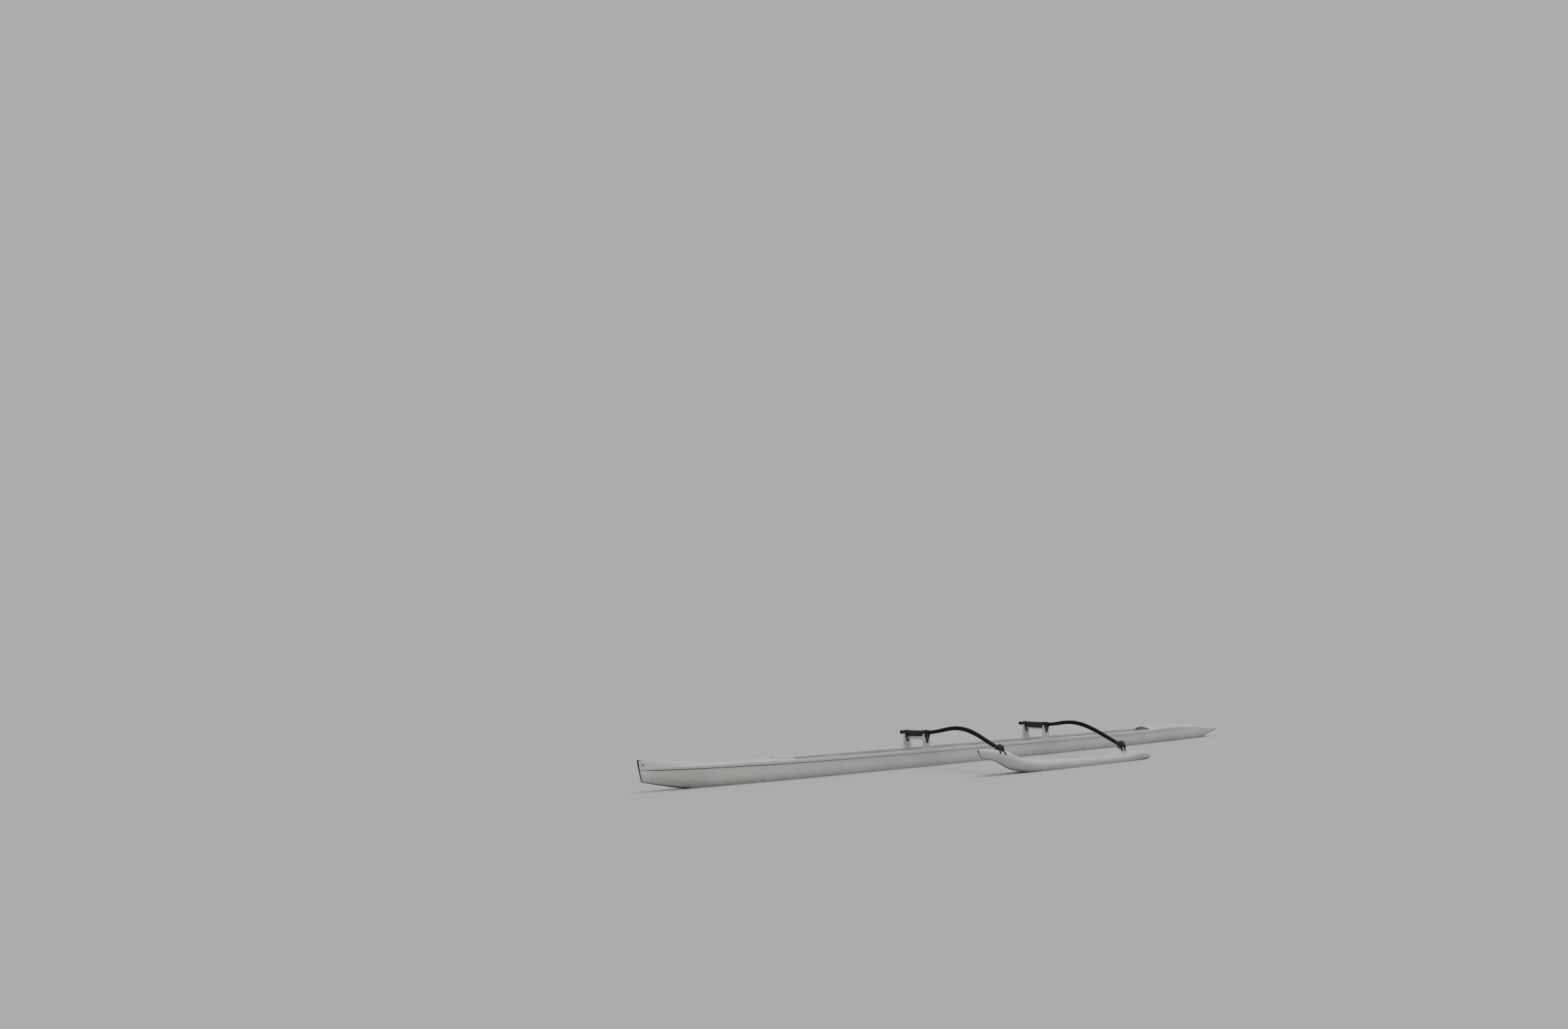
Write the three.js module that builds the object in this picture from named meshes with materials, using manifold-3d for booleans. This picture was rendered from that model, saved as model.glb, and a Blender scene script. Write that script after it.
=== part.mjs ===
// Six-seat outrigger canoe: hull, decks, seats, two arched cross beams and a float.
// Millimetres. +X points to the bow, +Y to port, where the float is, and +Z up.
// The origin is on the waterline amidships, on the hull's centre plane.
import * as THREE from "three";
import { mergeVertices } from "three/addons/utils/BufferGeometryUtils.js";
import Module from "manifold-3d";

const wasm = await Module();
wasm.setup();

const SIDES = [["port", 1], ["starboard", -1]];

// Driving dimensions of the hull
const FIT = 0.3; // gap between pieces that touch
const BEYOND = { x: 7000, y: 400, low: -400, high: 600 }; // corner of a box round the hull, for cuts
const WALL = 10; // laminate of the hull
const KEEL_FLAT = 10; // half width of the flat along the keel
const RAIL_DEPTH = 32; // a gunwale's reach inboard of the hull's side
const STEM_X = 6723; // stem at its lower corner
const KNEE_Z = 149; // height of that corner
const STEM_LEAN = 0.2416; // forward lean of the stem, run over rise
const LEAN_START = 5900; // where the stations begin to lean
const COCKPIT = { fore: 4060, aft: -4480 };
const RAILS = { fore: 6300, aft: -5450 };
const RAIL_EDGE = { outer: 14, bevel: 5, drop: 4, inner: 6, innerDrop: 5 }; // rounding of a rail's top
const RAIL_ZONE = { out: 60, below: 60, above: 160 }; // room round a rail for its cut in a deck
const CAVITY = { fore: 6180, aft: -5950, over: 40 };
const DECK_ROUND = 12; // radius of a deck's outer edge
const CROWN = 1.7; // roundness of a deck across the boat
const DECK_STEPS = [0.85, 0.7, 0.5, 0.25]; // points across a deck, as shares of its half width
const DECK_LIP = 60; // overhang of a deck over its bulkhead
const DECK_SKIN = 12; // thickness of that overhang
const BULKHEAD = 14;
const BULKHEAD_FACE = { bow: 4140, stern: -4546 };
const HATCH = { radius: 78, height: 14, bevel: 8, above: 40 };
const GUARD = { apex: 4420, foot: 4095, reach: 165, arm: 34, height: 36 };
const TOW_HOLE = { x: 6712, z: 396, radius: 11 };
const BOW_BAND = { depth: 20, hook: 56, hookDepth: 18, from: 5500 };
const STERN_BAND = { depth: 16, from: -5700 };

// Lengths that the hull and its gunwales are made in: name, forward end, after end.
const HULL_LENGTHS = [
  ["bow", BEYOND.x, 4150],
  ["fore", 4150, 1600],
  ["mid", 1600, -1260],
  ["aft", -1260, -4570],
  ["stern", -4570, -BEYOND.x],
];
const GUNWALE_LENGTHS = [
  ["fore", BEYOND.x, 3030],
  ["mid", 3030, -2690],
  ["aft", -2690, -BEYOND.x],
];

// Driving dimensions of the seats
const SEAT = { first: 3030, pitch: 1430, count: 6, half: 125, lip: 45, skin: 14, drop: 70 };
// Across a seat: distance off the centre plane, height over the pan.
const SEAT_SIDES = [[150, 0], [190, 12], [225, 22], [260, 22]];

// Driving dimensions of the beams, posts and lashings
const BEAM_X = { fore: 1388, aft: -1500 };
const BEAM_HALF_WIDTH = 27;
const BEAM_CORNER = 13;
const BEAM_STRAIGHT = 6; // rise between two rows up to which a beam is straight there
const BEAM_END = { length: 12, scale: 0.72 };
const POST = { inset: 9, half: 20, corner: 9, sunk: 30, saddle: 14, hole: 395, holeRadius: 8 };
// Posts: height over the foot and half length, then height under the head and half length.
const POST_FOOT = [[0, 94], [24, 92], [44, 80], [80, 74], [160, 72]];
const POST_HEAD = [[10, 71], [0, 63]];
const CROSSBAR = { low: 436, high: 467, half: 15 };
const WRAP = {
  thin: 8, // thickness of the turns from the centre plane to the end
  thick: 14, // thickness of the turns between from and to
  end: 340,
  from: 165,
  to: 318,
  under: 470, // lowest height of the turns between the posts
  underHalf: 26,
  underTop: 530,
  plate: 8, // thickness of the strands on a post's faces
  zone: { half: 90, low: 380, high: 640 },
};
// Strands on a post's outboard face, a V: places forward of the post's middle, with its
// inner notch, and on its inboard face, a yoke round the crossbar.
const VEE = {
  fore: 42,
  foreInner: 10,
  footFore: 14,
  notch: 36,
  notchX: 2,
  footAft: -10,
  aftInner: -20,
  aft: -56,
};
const YOKE = { top: 38, foot: 28, clear: 3, under: 19 };

// Driving dimensions of the float
const FLOAT_Y = 1920;
const FLOAT_BAND = { half: 26, depth: 14 };
// Lashings of the float: a collar round the beam's end with a knob of crossed turns on
// top, a pad over the float or pylon, and straps of this half width.
const COLLAR = { from: 1866, to: 1984, grow: 13, half: 80, low: 150, high: 520 };
const KNOB = { from: 1925, to: 1978, half: 22, high: 34 };
const STRAP = { half: 11, top: 500, reach: 150 };
const PAD_OVER = { inboard: 5, outboard: 10 }; // a pad's reach beyond its collar
const PYLON_X = -1536;
// Section of the float: where it is widest, and how round it is above, below and across.
const FLOAT_SECTION = { points: 16, waist: 0.56, above: 0.86, below: 1.04, across: 0.9 };

// Hull: station, half beam at the sheer, sheer, keel, fullness of the section,
// height of the rail or deck edge over the sheer, its overhang outboard.
const LINES = [
  [6723, 14, 326, 149, 1.25, 40, 1],
  [6400, 50, 310, 77, 1.3, 41, 6],
  [6000, 92, 296, 6, 1.4, 43, 10],
  [5500, 136, 284, -60, 1.55, 46, 12],
  [5000, 168, 274, -118, 1.7, 50, 14],
  [4300, 203, 260, -175, 1.85, 50, 15],
  [3300, 233, 249, -222, 2.0, 50, 15],
  [1800, 250, 238, -252, 2.1, 50, 15],
  [0, 255, 230, -262, 2.15, 50, 15],
  [-1800, 250, 222, -256, 2.1, 50, 15],
  [-3300, 233, 215, -232, 2.0, 50, 15],
  [-4300, 206, 214, -195, 1.85, 50, 14],
  [-5000, 174, 221, -148, 1.7, 46, 9],
  [-5500, 143, 220, -108, 1.6, 40, 3],
  [-6000, 102, 199, -60, 1.5, 25, 0],
  [-6300, 72, 178, -16, 1.5, 13, 0],
  [-6400, 61, 171, 28, 1.5, 10, 0],
  [-6600, 38, 155, 88, 1.5, 6, 0],
  [-6795, 9, 140, 134, 1.5, 3, 0],
];
// Ridge of the decks: station, height.
const FORE_RIDGE = [[6723, 475], [6450, 455], [6200, 424], [5950, 394], [5700, 374], [5450, 352],
  [5200, 340], [4800, 334], [4400, 332], [4060, 328]];
const AFT_RIDGE = [[-4480, 312], [-4750, 320], [-5000, 319], [-5500, 298], [-6000, 257],
  [-6400, 213], [-6650, 175], [-6795, 148]];
// Stations along the hull, so that neighbouring pieces share their facets.
const STATIONS = [6723, 6620, 6500, 6400, 6300, 6180, 6000, 5750, 5500, 5250, 5000, 4700, 4400,
  4060, 3650, 3100, 2500, 1800, 900, 0, -900, -1800, -2500, -3100, -3650, -4100, -4480, -4750, -5000,
  -5225, -5450, -5700, -5950, -6150, -6300, -6400, -6500, -6600, -6700, -6795];

// Cross beams: distance to port, height of the centre line, height of the section.
const BEAMS = {
  fore: [[-382, 533, 56], [0, 538, 60], [254, 557, 60], [560, 603, 60], [790, 649, 63],
    [1041, 670, 64], [1290, 637, 63], [1524, 559, 58], [1750, 468, 54], [1896, 421, 52],
    [1965, 407, 50]],
  aft: [[-382, 522, 56], [0, 523, 60], [200, 529, 60], [440, 549, 61], [640, 581, 64],
    [849, 599, 64], [1060, 581, 64], [1302, 519, 62], [1540, 431, 58], [1737, 350, 55],
    [1857, 304, 53], [1915, 288, 52], [1968, 276, 50]],
};

// Float: station, top, keel, half width.
const FLOAT = [
  [1855, 412, 404, 4],
  [1852, 420, 390, 14],
  [1847, 424, 372, 26],
  [1836, 426, 345, 42],
  [1764, 422, 285, 62],
  [1655, 414, 260, 76],
  [1518, 402, 226, 90],
  [1383, 384, 168, 100],
  [1245, 362, 99, 108],
  [1106, 302, 50, 114],
  [967, 246, 20, 119],
  [853, 222, -2, 122],
  [670, 198, -28, 124],
  [380, 174, -48, 125],
  [-30, 150, -67, 125],
  [-530, 132, -79, 122],
  [-1030, 120, -78, 118],
  [-1430, 128, -62, 112],
  [-1730, 148, -39, 100],
  [-1900, 158, -24, 88],
  [-2020, 149, -10, 75],
  [-2120, 130, 2, 58],
  [-2190, 100, 12, 42],
  [-2240, 70, 23, 26],
  [-2270, 48, 32, 12],
];
const FLOAT_STATIONS = [1855, 1852, 1847, 1836, 1800, 1764, 1710, 1655, 1585, 1518, 1450, 1383, 1315,
  1245, 1175, 1106, 1040, 967, 853, 760, 670, 520, 380, 170, -30, -280, -530, -780, -1030, -1230, -1430,
  -1580, -1730, -1900, -2020, -2070, -2120, -2190, -2240, -2270];
// Stations of the black bands along the float's lower edge.
const NOSE_BAND = [900, 967, 1106, 1245, 1383, 1518, 1655, 1764, 1820, 1836, 1847, 1852];
const TAIL_BAND = [-1730, -1850, -1970, -2070, -2140, -2190];
// Pylon under the aft beam: height, reach forward, reach aft, half width.
const PYLON = [
  [108, 320, 310, 84],
  [142, 290, 275, 78],
  [162, 225, 190, 64],
  [188, 140, 128, 48],
  [218, 98, 94, 40],
  [262, 82, 80, 38],
];

const COLOURS = {
  hull: new THREE.MeshStandardMaterial({ color: 0xd6d3cb, roughness: 0.32, metalness: 0 }),
  deck: new THREE.MeshStandardMaterial({ color: 0xdfe0dc, roughness: 0.36, metalness: 0 }),
  inside: new THREE.MeshStandardMaterial({ color: 0xc4c5c1, roughness: 0.6, metalness: 0 }),
  wood: new THREE.MeshStandardMaterial({ color: 0x3a2a22, roughness: 0.42, metalness: 0 }),
  lashing: new THREE.MeshStandardMaterial({ color: 0x15151a, roughness: 0.8, metalness: 0 }),
  band: new THREE.MeshStandardMaterial({ color: 0x1d1e1e, roughness: 0.5, metalness: 0 }),
};

// A smooth curve through one column of a table whose first column is the position,
// which never overshoots its rows.
function through(rows, column) {
  const sorted = [...rows].sort((a, b) => a[0] - b[0]);
  const xs = sorted.map((row) => row[0]);
  const ys = sorted.map((row) => row[column]);
  const slopes = xs.slice(1).map((x, i) => (ys[i + 1] - ys[i]) / (x - xs[i]));
  const tangents = xs.map((x, i) => {
    if (i === 0) return slopes[0];
    if (i === xs.length - 1) return slopes[i - 1];
    if (slopes[i - 1] * slopes[i] <= 0) return 0;
    return (2 * slopes[i - 1] * slopes[i]) / (slopes[i - 1] + slopes[i]);
  });
  return (x) => {
    const last = xs.length - 2;
    let i = 0;
    while (i < last && x > xs[i + 1]) i += 1;
    const span = xs[i + 1] - xs[i];
    const t = THREE.MathUtils.clamp((x - xs[i]) / span, 0, 1);
    const rise = ys[i + 1] - ys[i];
    const bend = tangents[i] * span * (1 - t) - tangents[i + 1] * span * t + rise * (2 * t - 1);
    return ys[i] + rise * t + t * (1 - t) * bend;
  };
}

// A curve with an even bend through one column of a table in rising order.
function bentThrough(rows, column) {
  const xs = rows.map((row) => row[0]);
  const ys = rows.map((row) => row[column]);
  const last = xs.length - 1;
  const bends = xs.map(() => 0);
  const shares = [0];
  for (let i = 1; i < last; i += 1) {
    const before = xs[i] - xs[i - 1];
    const after = xs[i + 1] - xs[i];
    const turn = (ys[i + 1] - ys[i]) / after - (ys[i] - ys[i - 1]) / before;
    const weight = 2 * (before + after) - before * shares[i - 1];
    shares.push(after / weight);
    bends[i] = (6 * turn - before * bends[i - 1]) / weight;
  }
  for (let i = last - 1; i > 0; i -= 1) bends[i] -= shares[i] * bends[i + 1];
  return (x) => {
    let i = 0;
    while (i < last - 1 && x > xs[i + 1]) i += 1;
    const span = xs[i + 1] - xs[i];
    const b = (x - xs[i]) / span;
    const a = 1 - b;
    const bow = (a ** 3 - a) * bends[i] + (b ** 3 - b) * bends[i + 1];
    return a * ys[i] + b * ys[i + 1] + (bow * span * span) / 6;
  };
}

// A closed body through rings of equal length, each a list of points in one plane.
function loft(rings) {
  const count = rings[0].length;
  const faces = [];
  for (let r = 0; r < rings.length - 1; r += 1) {
    for (let i = 0; i < count; i += 1) {
      const a = r * count + i;
      const b = r * count + ((i + 1) % count);
      faces.push([a, b, b + count], [a, b + count, a + count]);
    }
  }
  const cap = (r, forward) => {
    const ring = rings[r];
    const normal = new THREE.Vector3();
    ring.forEach((point, i) => normal.add(point.clone().cross(ring[(i + 1) % count])));
    const size = normal.toArray().map(Math.abs);
    const dropped = size.indexOf(Math.max(...size));
    const inPlane = (point) => point.toArray().filter((_, k) => k !== dropped);
    const flat = ring.map((point) => new THREE.Vector2(...inPlane(point)));
    const mirrored = THREE.ShapeUtils.isClockWise(flat);
    const contour = mirrored ? [...flat].reverse() : flat;
    THREE.ShapeUtils.triangulateShape(contour, []).forEach((face) => {
      const [a, b, c] = face.map((i) => r * count + (mirrored ? count - 1 - i : i));
      faces.push(forward === mirrored ? [a, c, b] : [a, b, c]);
    });
  };
  cap(0, false);
  cap(rings.length - 1, true);
  const points = rings.flat();
  const volume = faces.reduce((sum, [a, b, c]) =>
    sum + points[a].dot(points[b].clone().cross(points[c])), 0);
  const geometry = new THREE.BufferGeometry().setFromPoints(points);
  geometry.setIndex(faces.flatMap(([a, b, c]) => (volume > 0 ? [a, b, c] : [a, c, b])));
  return geometry;
}

// Boolean solid of a closed geometry, and the geometry of a boolean solid.
function solidOf(geometry) {
  const bare = new THREE.BufferGeometry();
  bare.setAttribute("position", geometry.getAttribute("position"));
  bare.setIndex(geometry.getIndex());
  const merged = mergeVertices(bare, 1e-3);
  return new wasm.Manifold(new wasm.Mesh({
    numProp: 3,
    vertProperties: new Float32Array(merged.getAttribute("position").array),
    triVerts: new Uint32Array(merged.getIndex().array),
  }));
}

function geometryOf(solid) {
  const mesh = solid.getMesh();
  const geometry = new THREE.BufferGeometry();
  geometry.setAttribute("position", new THREE.BufferAttribute(new Float32Array(mesh.vertProperties), 3));
  geometry.setIndex([...mesh.triVerts]);
  return geometry;
}

const loftSolid = (rings) => solidOf(loft(rings));

// A box between two corners.
function block([x0, y0, z0], [x1, y1, z1]) {
  const geometry = new THREE.BoxGeometry(x1 - x0, y1 - y0, z1 - z0);
  geometry.translate((x0 + x1) / 2, (y0 + y1) / 2, (z0 + z1) / 2);
  return solidOf(geometry);
}

// An outline of [x, z] points, made into a plate from y0 to y1.
function plate(outline, y0, y1) {
  const shape = new THREE.Shape(outline.map(([x, z]) => new THREE.Vector2(x, z)));
  const geometry = new THREE.ExtrudeGeometry(shape, { depth: y1 - y0, bevelEnabled: false });
  geometry.rotateX(Math.PI / 2);
  geometry.translate(0, y1, 0);
  return solidOf(geometry);
}

// An outline of [x, y] points, made into a wall from z0 to z1.
function wall(outline, z0, z1) {
  const shape = new THREE.Shape(outline.map(([x, y]) => new THREE.Vector2(x, y)));
  const geometry = new THREE.ExtrudeGeometry(shape, { depth: z1 - z0, bevelEnabled: false });
  geometry.translate(0, 0, z0);
  return solidOf(geometry);
}

// A round bar along Y.
function crossPin(x, y0, y1, z, radius, sides) {
  const geometry = new THREE.CylinderGeometry(radius, radius, y1 - y0, sides);
  geometry.translate(x, (y0 + y1) / 2, z);
  return solidOf(geometry);
}

// Hull

const halfBeam = through(LINES, 1);
const sheer = through(LINES, 2);
const keel = through(LINES, 3);
const fullness = through(LINES, 4);
const railHeight = through(LINES, 5);
const railLip = through(LINES, 6);
const ridge = through([...FORE_RIDGE, ...AFT_RIDGE], 1);

// The stations lean forward towards the bow, as the stem does.
function place(x, y, z) {
  const lean = STEM_LEAN * THREE.MathUtils.smoothstep(x, LEAN_START, STEM_X);
  return new THREE.Vector3(x + lean * (z - KNEE_Z), y, z);
}

function stationsBetween(from, to) {
  return [...new Set([to, ...STATIONS.filter((x) => x > from && x < to), from])];
}

// Section of the hull from the port sheer under the keel to the starboard sheer.
function hullRing(x, inset, top) {
  const steps = 8;
  const beam = halfBeam(x) - inset;
  const flat = Math.min(KEEL_FLAT, beam * 0.6);
  const bottom = keel(x) + inset;
  const side = [];
  for (let i = 0; i <= steps; i += 1) {
    const turn = (Math.PI / 2) * (i / steps);
    const y = flat + (beam - flat) * Math.sin(turn) ** (2 / fullness(x));
    const z = i === steps ? top : sheer(x) - (sheer(x) - bottom) * Math.cos(turn) ** (2 / fullness(x));
    side.push([y, z]);
  }
  const port = side.map(([y, z]) => place(x, y, z)).reverse();
  const starboard = side.map(([y, z]) => place(x, -y, z));
  return [...port, ...starboard];
}

const hullBody = loftSolid(STATIONS.map((x) => hullRing(x, 0, sheer(x))));

// The hollow inside the hull, open upwards; a clearance makes what fits in it smaller.
function hollow(clearance) {
  const xs = stationsBetween(CAVITY.aft, CAVITY.fore);
  return loftSolid(xs.map((x) => hullRing(x, WALL + clearance, sheer(x) + CAVITY.over)));
}

const fitHollow = hollow(2 * FIT);

// The length of a solid between two cross planes, short of each by half a gap.
function lengthOf(solid, fore, aft) {
  return solid.intersect(block([aft + FIT / 2, -BEYOND.y, BEYOND.low],
    [fore - FIT / 2, BEYOND.y, BEYOND.high]));
}

// Half width of a deck up to its rounded edge, and height of its surface.
function deckShoulder(x) {
  const outer = halfBeam(x) + railLip(x);
  return outer - Math.min(DECK_ROUND, outer * 0.4, railHeight(x) * 0.7);
}

function deckHeight(x, y) {
  const edge = sheer(x) + railHeight(x);
  return edge + (ridge(x) - edge) * (1 - Math.min(y / deckShoulder(x), 1) ** CROWN);
}

// Section of the decks: flat underneath, edges as high as the rails, crowned to the ridge.
function deckRing(x, raise, bottom) {
  const low = sheer(x) + bottom;
  const edge = sheer(x) + railHeight(x) + raise;
  const outer = halfBeam(x) + railLip(x);
  const shoulder = deckShoulder(x);
  const round = outer - shoulder;
  const top = ridge(x) + raise;
  const crown = DECK_STEPS.map((s) => [s * shoulder, deckHeight(x, s * shoulder) + raise]);
  const side = [[outer, low], [outer, edge - round], [shoulder + round * 0.3, edge - round * 0.3],
    [shoulder, edge], ...crown];
  const port = side.map(([y, z]) => place(x, y, z));
  const starboard = side.map(([y, z]) => place(x, -y, z)).reverse();
  return [...port, place(x, 0, top), ...starboard];
}

// What lies outboard of a gunwale's inner face, on both sides; a clearance widens it.
function railZone(clearance) {
  const xs = stationsBetween(RAILS.aft - clearance, RAILS.fore + clearance);
  const { out, below, above } = RAIL_ZONE;
  const side = (hand) => loftSolid(xs.map((x) => {
    const inner = hand * (halfBeam(x) - RAIL_DEPTH - clearance);
    const outer = hand * (halfBeam(x) + out);
    return [place(x, inner, sheer(x) - below), place(x, outer, sheer(x) - below),
      place(x, outer, sheer(x) + above), place(x, inner, sheer(x) + above)];
  }));
  return side(1).add(side(-1));
}

const fitRailZone = railZone(FIT);

function foreDeckBody(raise, bottom) {
  return loftSolid(stationsBetween(COCKPIT.fore, STEM_X).map((x) => deckRing(x, raise, bottom)));
}

function aftDeckBody(raise, bottom) {
  const end = STATIONS[STATIONS.length - 1];
  return loftSolid(stationsBetween(end, COCKPIT.aft).map((x) => deckRing(x, raise, bottom)));
}

// The underside of a deck's overhang, from its open edge to its bulkhead.
function lipRecess(open, closed) {
  return loftSolid([open, closed].map((x) => {
    const half = halfBeam(x) - RAIL_DEPTH - FIT - DECK_SKIN;
    const low = sheer(x) - DECK_SKIN;
    const edge = sheer(x) + railHeight(x) - DECK_SKIN;
    const crown = (edge + 2 * (ridge(x) - DECK_SKIN)) / 3;
    const side = [[half, low], [half, edge], [half / 2, crown]];
    const port = side.map(([y, z]) => place(x, y, z));
    const starboard = side.map(([y, z]) => place(x, -y, z)).reverse();
    return [...port, ...starboard];
  }));
}

// What lies outside the line of the bow's black band: along the keel, up the stem
// and back over the deck in a short hook.
function bowBandZone(clearance) {
  const depth = BOW_BAND.depth + clearance;
  const under = STATIONS.filter((x) => x >= BOW_BAND.from && x < STEM_X).reverse()
    .map((x) => place(x, 0, keel(x) + depth));
  const knee = place(STEM_X, 0, KNEE_Z + depth);
  const head = place(STEM_X, 0, ridge(STEM_X) - BOW_BAND.hookDepth - clearance);
  const hook = head.x - BOW_BAND.hook - clearance;
  const line = [...under.map((p) => [p.x - clearance, p.z]), [knee.x - depth, knee.z],
    [head.x - depth, head.z], [hook, head.z], [hook, BEYOND.high]];
  const outside = [[BEYOND.x, BEYOND.high], [BEYOND.x, BEYOND.low], [line[0][0], BEYOND.low]];
  return plate([...line, ...outside], -BEYOND.y, BEYOND.y);
}

// What lies outside the line of the stern's black band, along the keel.
function sternBandZone(clearance) {
  const depth = STERN_BAND.depth + clearance;
  const line = STATIONS.filter((x) => x <= STERN_BAND.from).reverse()
    .map((x) => [x + clearance, keel(x) + depth]);
  const foremost = line[line.length - 1][0];
  const outside = [[foremost, BEYOND.low], [-BEYOND.x, BEYOND.low], [-BEYOND.x, line[0][1]]];
  return plate([...line, ...outside], -BEYOND.y, BEYOND.y);
}

const bowBandFit = bowBandZone(FIT);
const sternBandFit = sternBandZone(FIT);
const towHole = crossPin(TOW_HOLE.x, -BEYOND.y, BEYOND.y, TOW_HOLE.z, TOW_HOLE.radius, 12);

const hullShell = hullBody.subtract(hollow(0)).subtract(bowBandFit).subtract(sternBandFit);
const foreDeck = foreDeckBody(0, FIT).subtract(fitRailZone).subtract(bowBandFit).subtract(towHole)
  .subtract(lipRecess(COCKPIT.fore - 20, COCKPIT.fore + DECK_LIP));
const aftDeck = aftDeckBody(0, FIT).subtract(fitRailZone).subtract(sternBandFit)
  .subtract(lipRecess(COCKPIT.aft + 20, COCKPIT.aft - DECK_LIP));
const bowBand = hullBody.add(foreDeckBody(0, -2)).intersect(bowBandZone(0));
const sternBand = hullBody.add(aftDeckBody(0, -2)).intersect(sternBandZone(0));

// Section of a gunwale, whose top follows the crown beside a deck; grow makes it larger
// all round.
function gunwaleRing(x, hand, grow) {
  const inner = halfBeam(x) - RAIL_DEPTH - grow;
  const outer = halfBeam(x) + railLip(x) + grow;
  const low = sheer(x) + FIT - grow;
  const high = sheer(x) + railHeight(x) + grow;
  const edge = RAIL_EDGE;
  const beside = x >= COCKPIT.fore || x <= COCKPIT.aft;
  const inside = beside
    ? [inner + edge.inner, inner].map((y) => [y, deckHeight(x, y) + grow])
    : [[inner + edge.inner, high], [inner, high - edge.innerDrop]];
  const profile = [[inner, low], [outer, low], [outer, high - edge.outer],
    [outer - edge.bevel, high - edge.drop], [outer - edge.outer, high], ...inside];
  return profile.map(([y, z]) => place(x, hand * y, z));
}

function gunwale(hand, grow) {
  return loftSolid(stationsBetween(RAILS.aft, RAILS.fore).map((x) => gunwaleRing(x, hand, grow)));
}

function bulkhead(fore) {
  const top = Math.min(sheer(fore), sheer(fore - BULKHEAD));
  return fitHollow.intersect(block([fore - BULKHEAD, -BEYOND.y, BEYOND.low], [fore, BEYOND.y, top]));
}

// A round bevelled lid on the cockpit side of a bulkhead.
function hatch(face, hand) {
  const { radius, height, bevel, above } = HATCH;
  const profile = [[0, 0], [radius, 0], [radius, height - bevel], [radius - bevel, height], [0, height]];
  const geometry = new THREE.LatheGeometry(profile.map(([r, h]) => new THREE.Vector2(r, h)), 24);
  geometry.rotateZ(hand * (Math.PI / 2));
  geometry.translate(face, 0, (sheer(face) + keel(face)) / 2 + above);
  return solidOf(geometry);
}

// Low guard on the foredeck, a V in plan that points to the bow.
function splashGuard() {
  const { apex, foot, reach, arm, height } = GUARD;
  const outline = [[apex, 0], [foot + arm, reach], [foot, reach], [apex - 2 * arm, 0], [foot, -reach],
    [foot + arm, -reach]];
  const deck = foreDeckBody(FIT, FIT);
  return wall(outline, BEYOND.low, BEYOND.high).intersect(foreDeckBody(height, FIT)).subtract(deck);
}

// Seats: a shallow pan across the hull with turned-down front and back edges.
function seat(x) {
  const { half, lip, skin, drop } = SEAT;
  const top = sheer(x) - drop;
  const profile = [[-half, -lip], [-half, -skin], [-half + skin, 0], [half - skin, 0], [half, -skin],
    [half, -lip], [half - skin, -lip], [half - skin, -skin * 1.4], [half - skin * 1.4, -skin],
    [-half + skin * 1.4, -skin], [-half + skin, -skin * 1.4], [-half + skin, -lip]];
  const starboard = SEAT_SIDES.map(([y, lift]) => [-y, lift]).reverse();
  return loftSolid([...starboard, ...SEAT_SIDES].map(([y, lift]) =>
    profile.map(([u, v]) => new THREE.Vector3(x + u, y, top + v + lift)))).intersect(fitHollow);
}

// Cross beams

const beamHeight = { fore: bentThrough(BEAMS.fore, 1), aft: bentThrough(BEAMS.aft, 1) };
const beamDepth = { fore: through(BEAMS.fore, 2), aft: through(BEAMS.aft, 2) };

// An arched beam with bevelled ends; grow makes it larger all round.
function beamBody(name, grow) {
  const rows = BEAMS[name];
  const height = beamHeight[name];
  const depth = beamDepth[name];
  const ends = [rows[0][0], rows[rows.length - 1][0]];
  const bends = rows.slice(0, -1).map((row, i) => [row, rows[i + 1]])
    .filter(([a, b]) => Math.abs(b[1] - a[1]) > BEAM_STRAIGHT)
    .map(([a, b]) => (a[0] + b[0]) / 2);
  const ys = [...rows.map((row) => row[0]), ...bends].sort((a, b) => a - b);
  const ring = (y, outward, scale) => {
    const rise = (height(y + 2) - height(y - 2)) / 4;
    const along = new THREE.Vector3(0, 1, rise).normalize();
    const up = new THREE.Vector3(0, -along.z, along.y);
    const centre = new THREE.Vector3(BEAM_X[name], y, height(y)).addScaledVector(along, outward);
    const wide = (BEAM_HALF_WIDTH + grow) * scale;
    const tall = (depth(y) / 2 + grow) * scale;
    const cut = BEAM_CORNER * scale;
    const mid = cut * 0.3;
    const corners = [[wide, tall - cut], [wide - mid, tall - mid], [wide - cut, tall],
      [-wide + cut, tall], [-wide + mid, tall - mid], [-wide, tall - cut],
      [-wide, -tall + cut], [-wide + mid, -tall + mid], [-wide + cut, -tall],
      [wide - cut, -tall], [wide - mid, -tall + mid], [wide, -tall + cut]];
    return corners.map(([u, v]) => centre.clone().addScaledVector(up, v).add(new THREE.Vector3(u, 0, 0)));
  };
  const { length, scale } = BEAM_END;
  return loftSolid([ring(ends[0], -length - grow, scale), ...ys.map((y) => ring(y, 0, 1)),
    ring(ends[1], length + grow, scale)]);
}

const postCentre = (name) => halfBeam(BEAM_X[name]) - POST.inset;

// Height of a beam's underside over a post.
function underside(name, hand) {
  const y = hand * postCentre(name);
  return beamHeight[name](y) - beamDepth[name](y) / 2;
}

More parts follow.
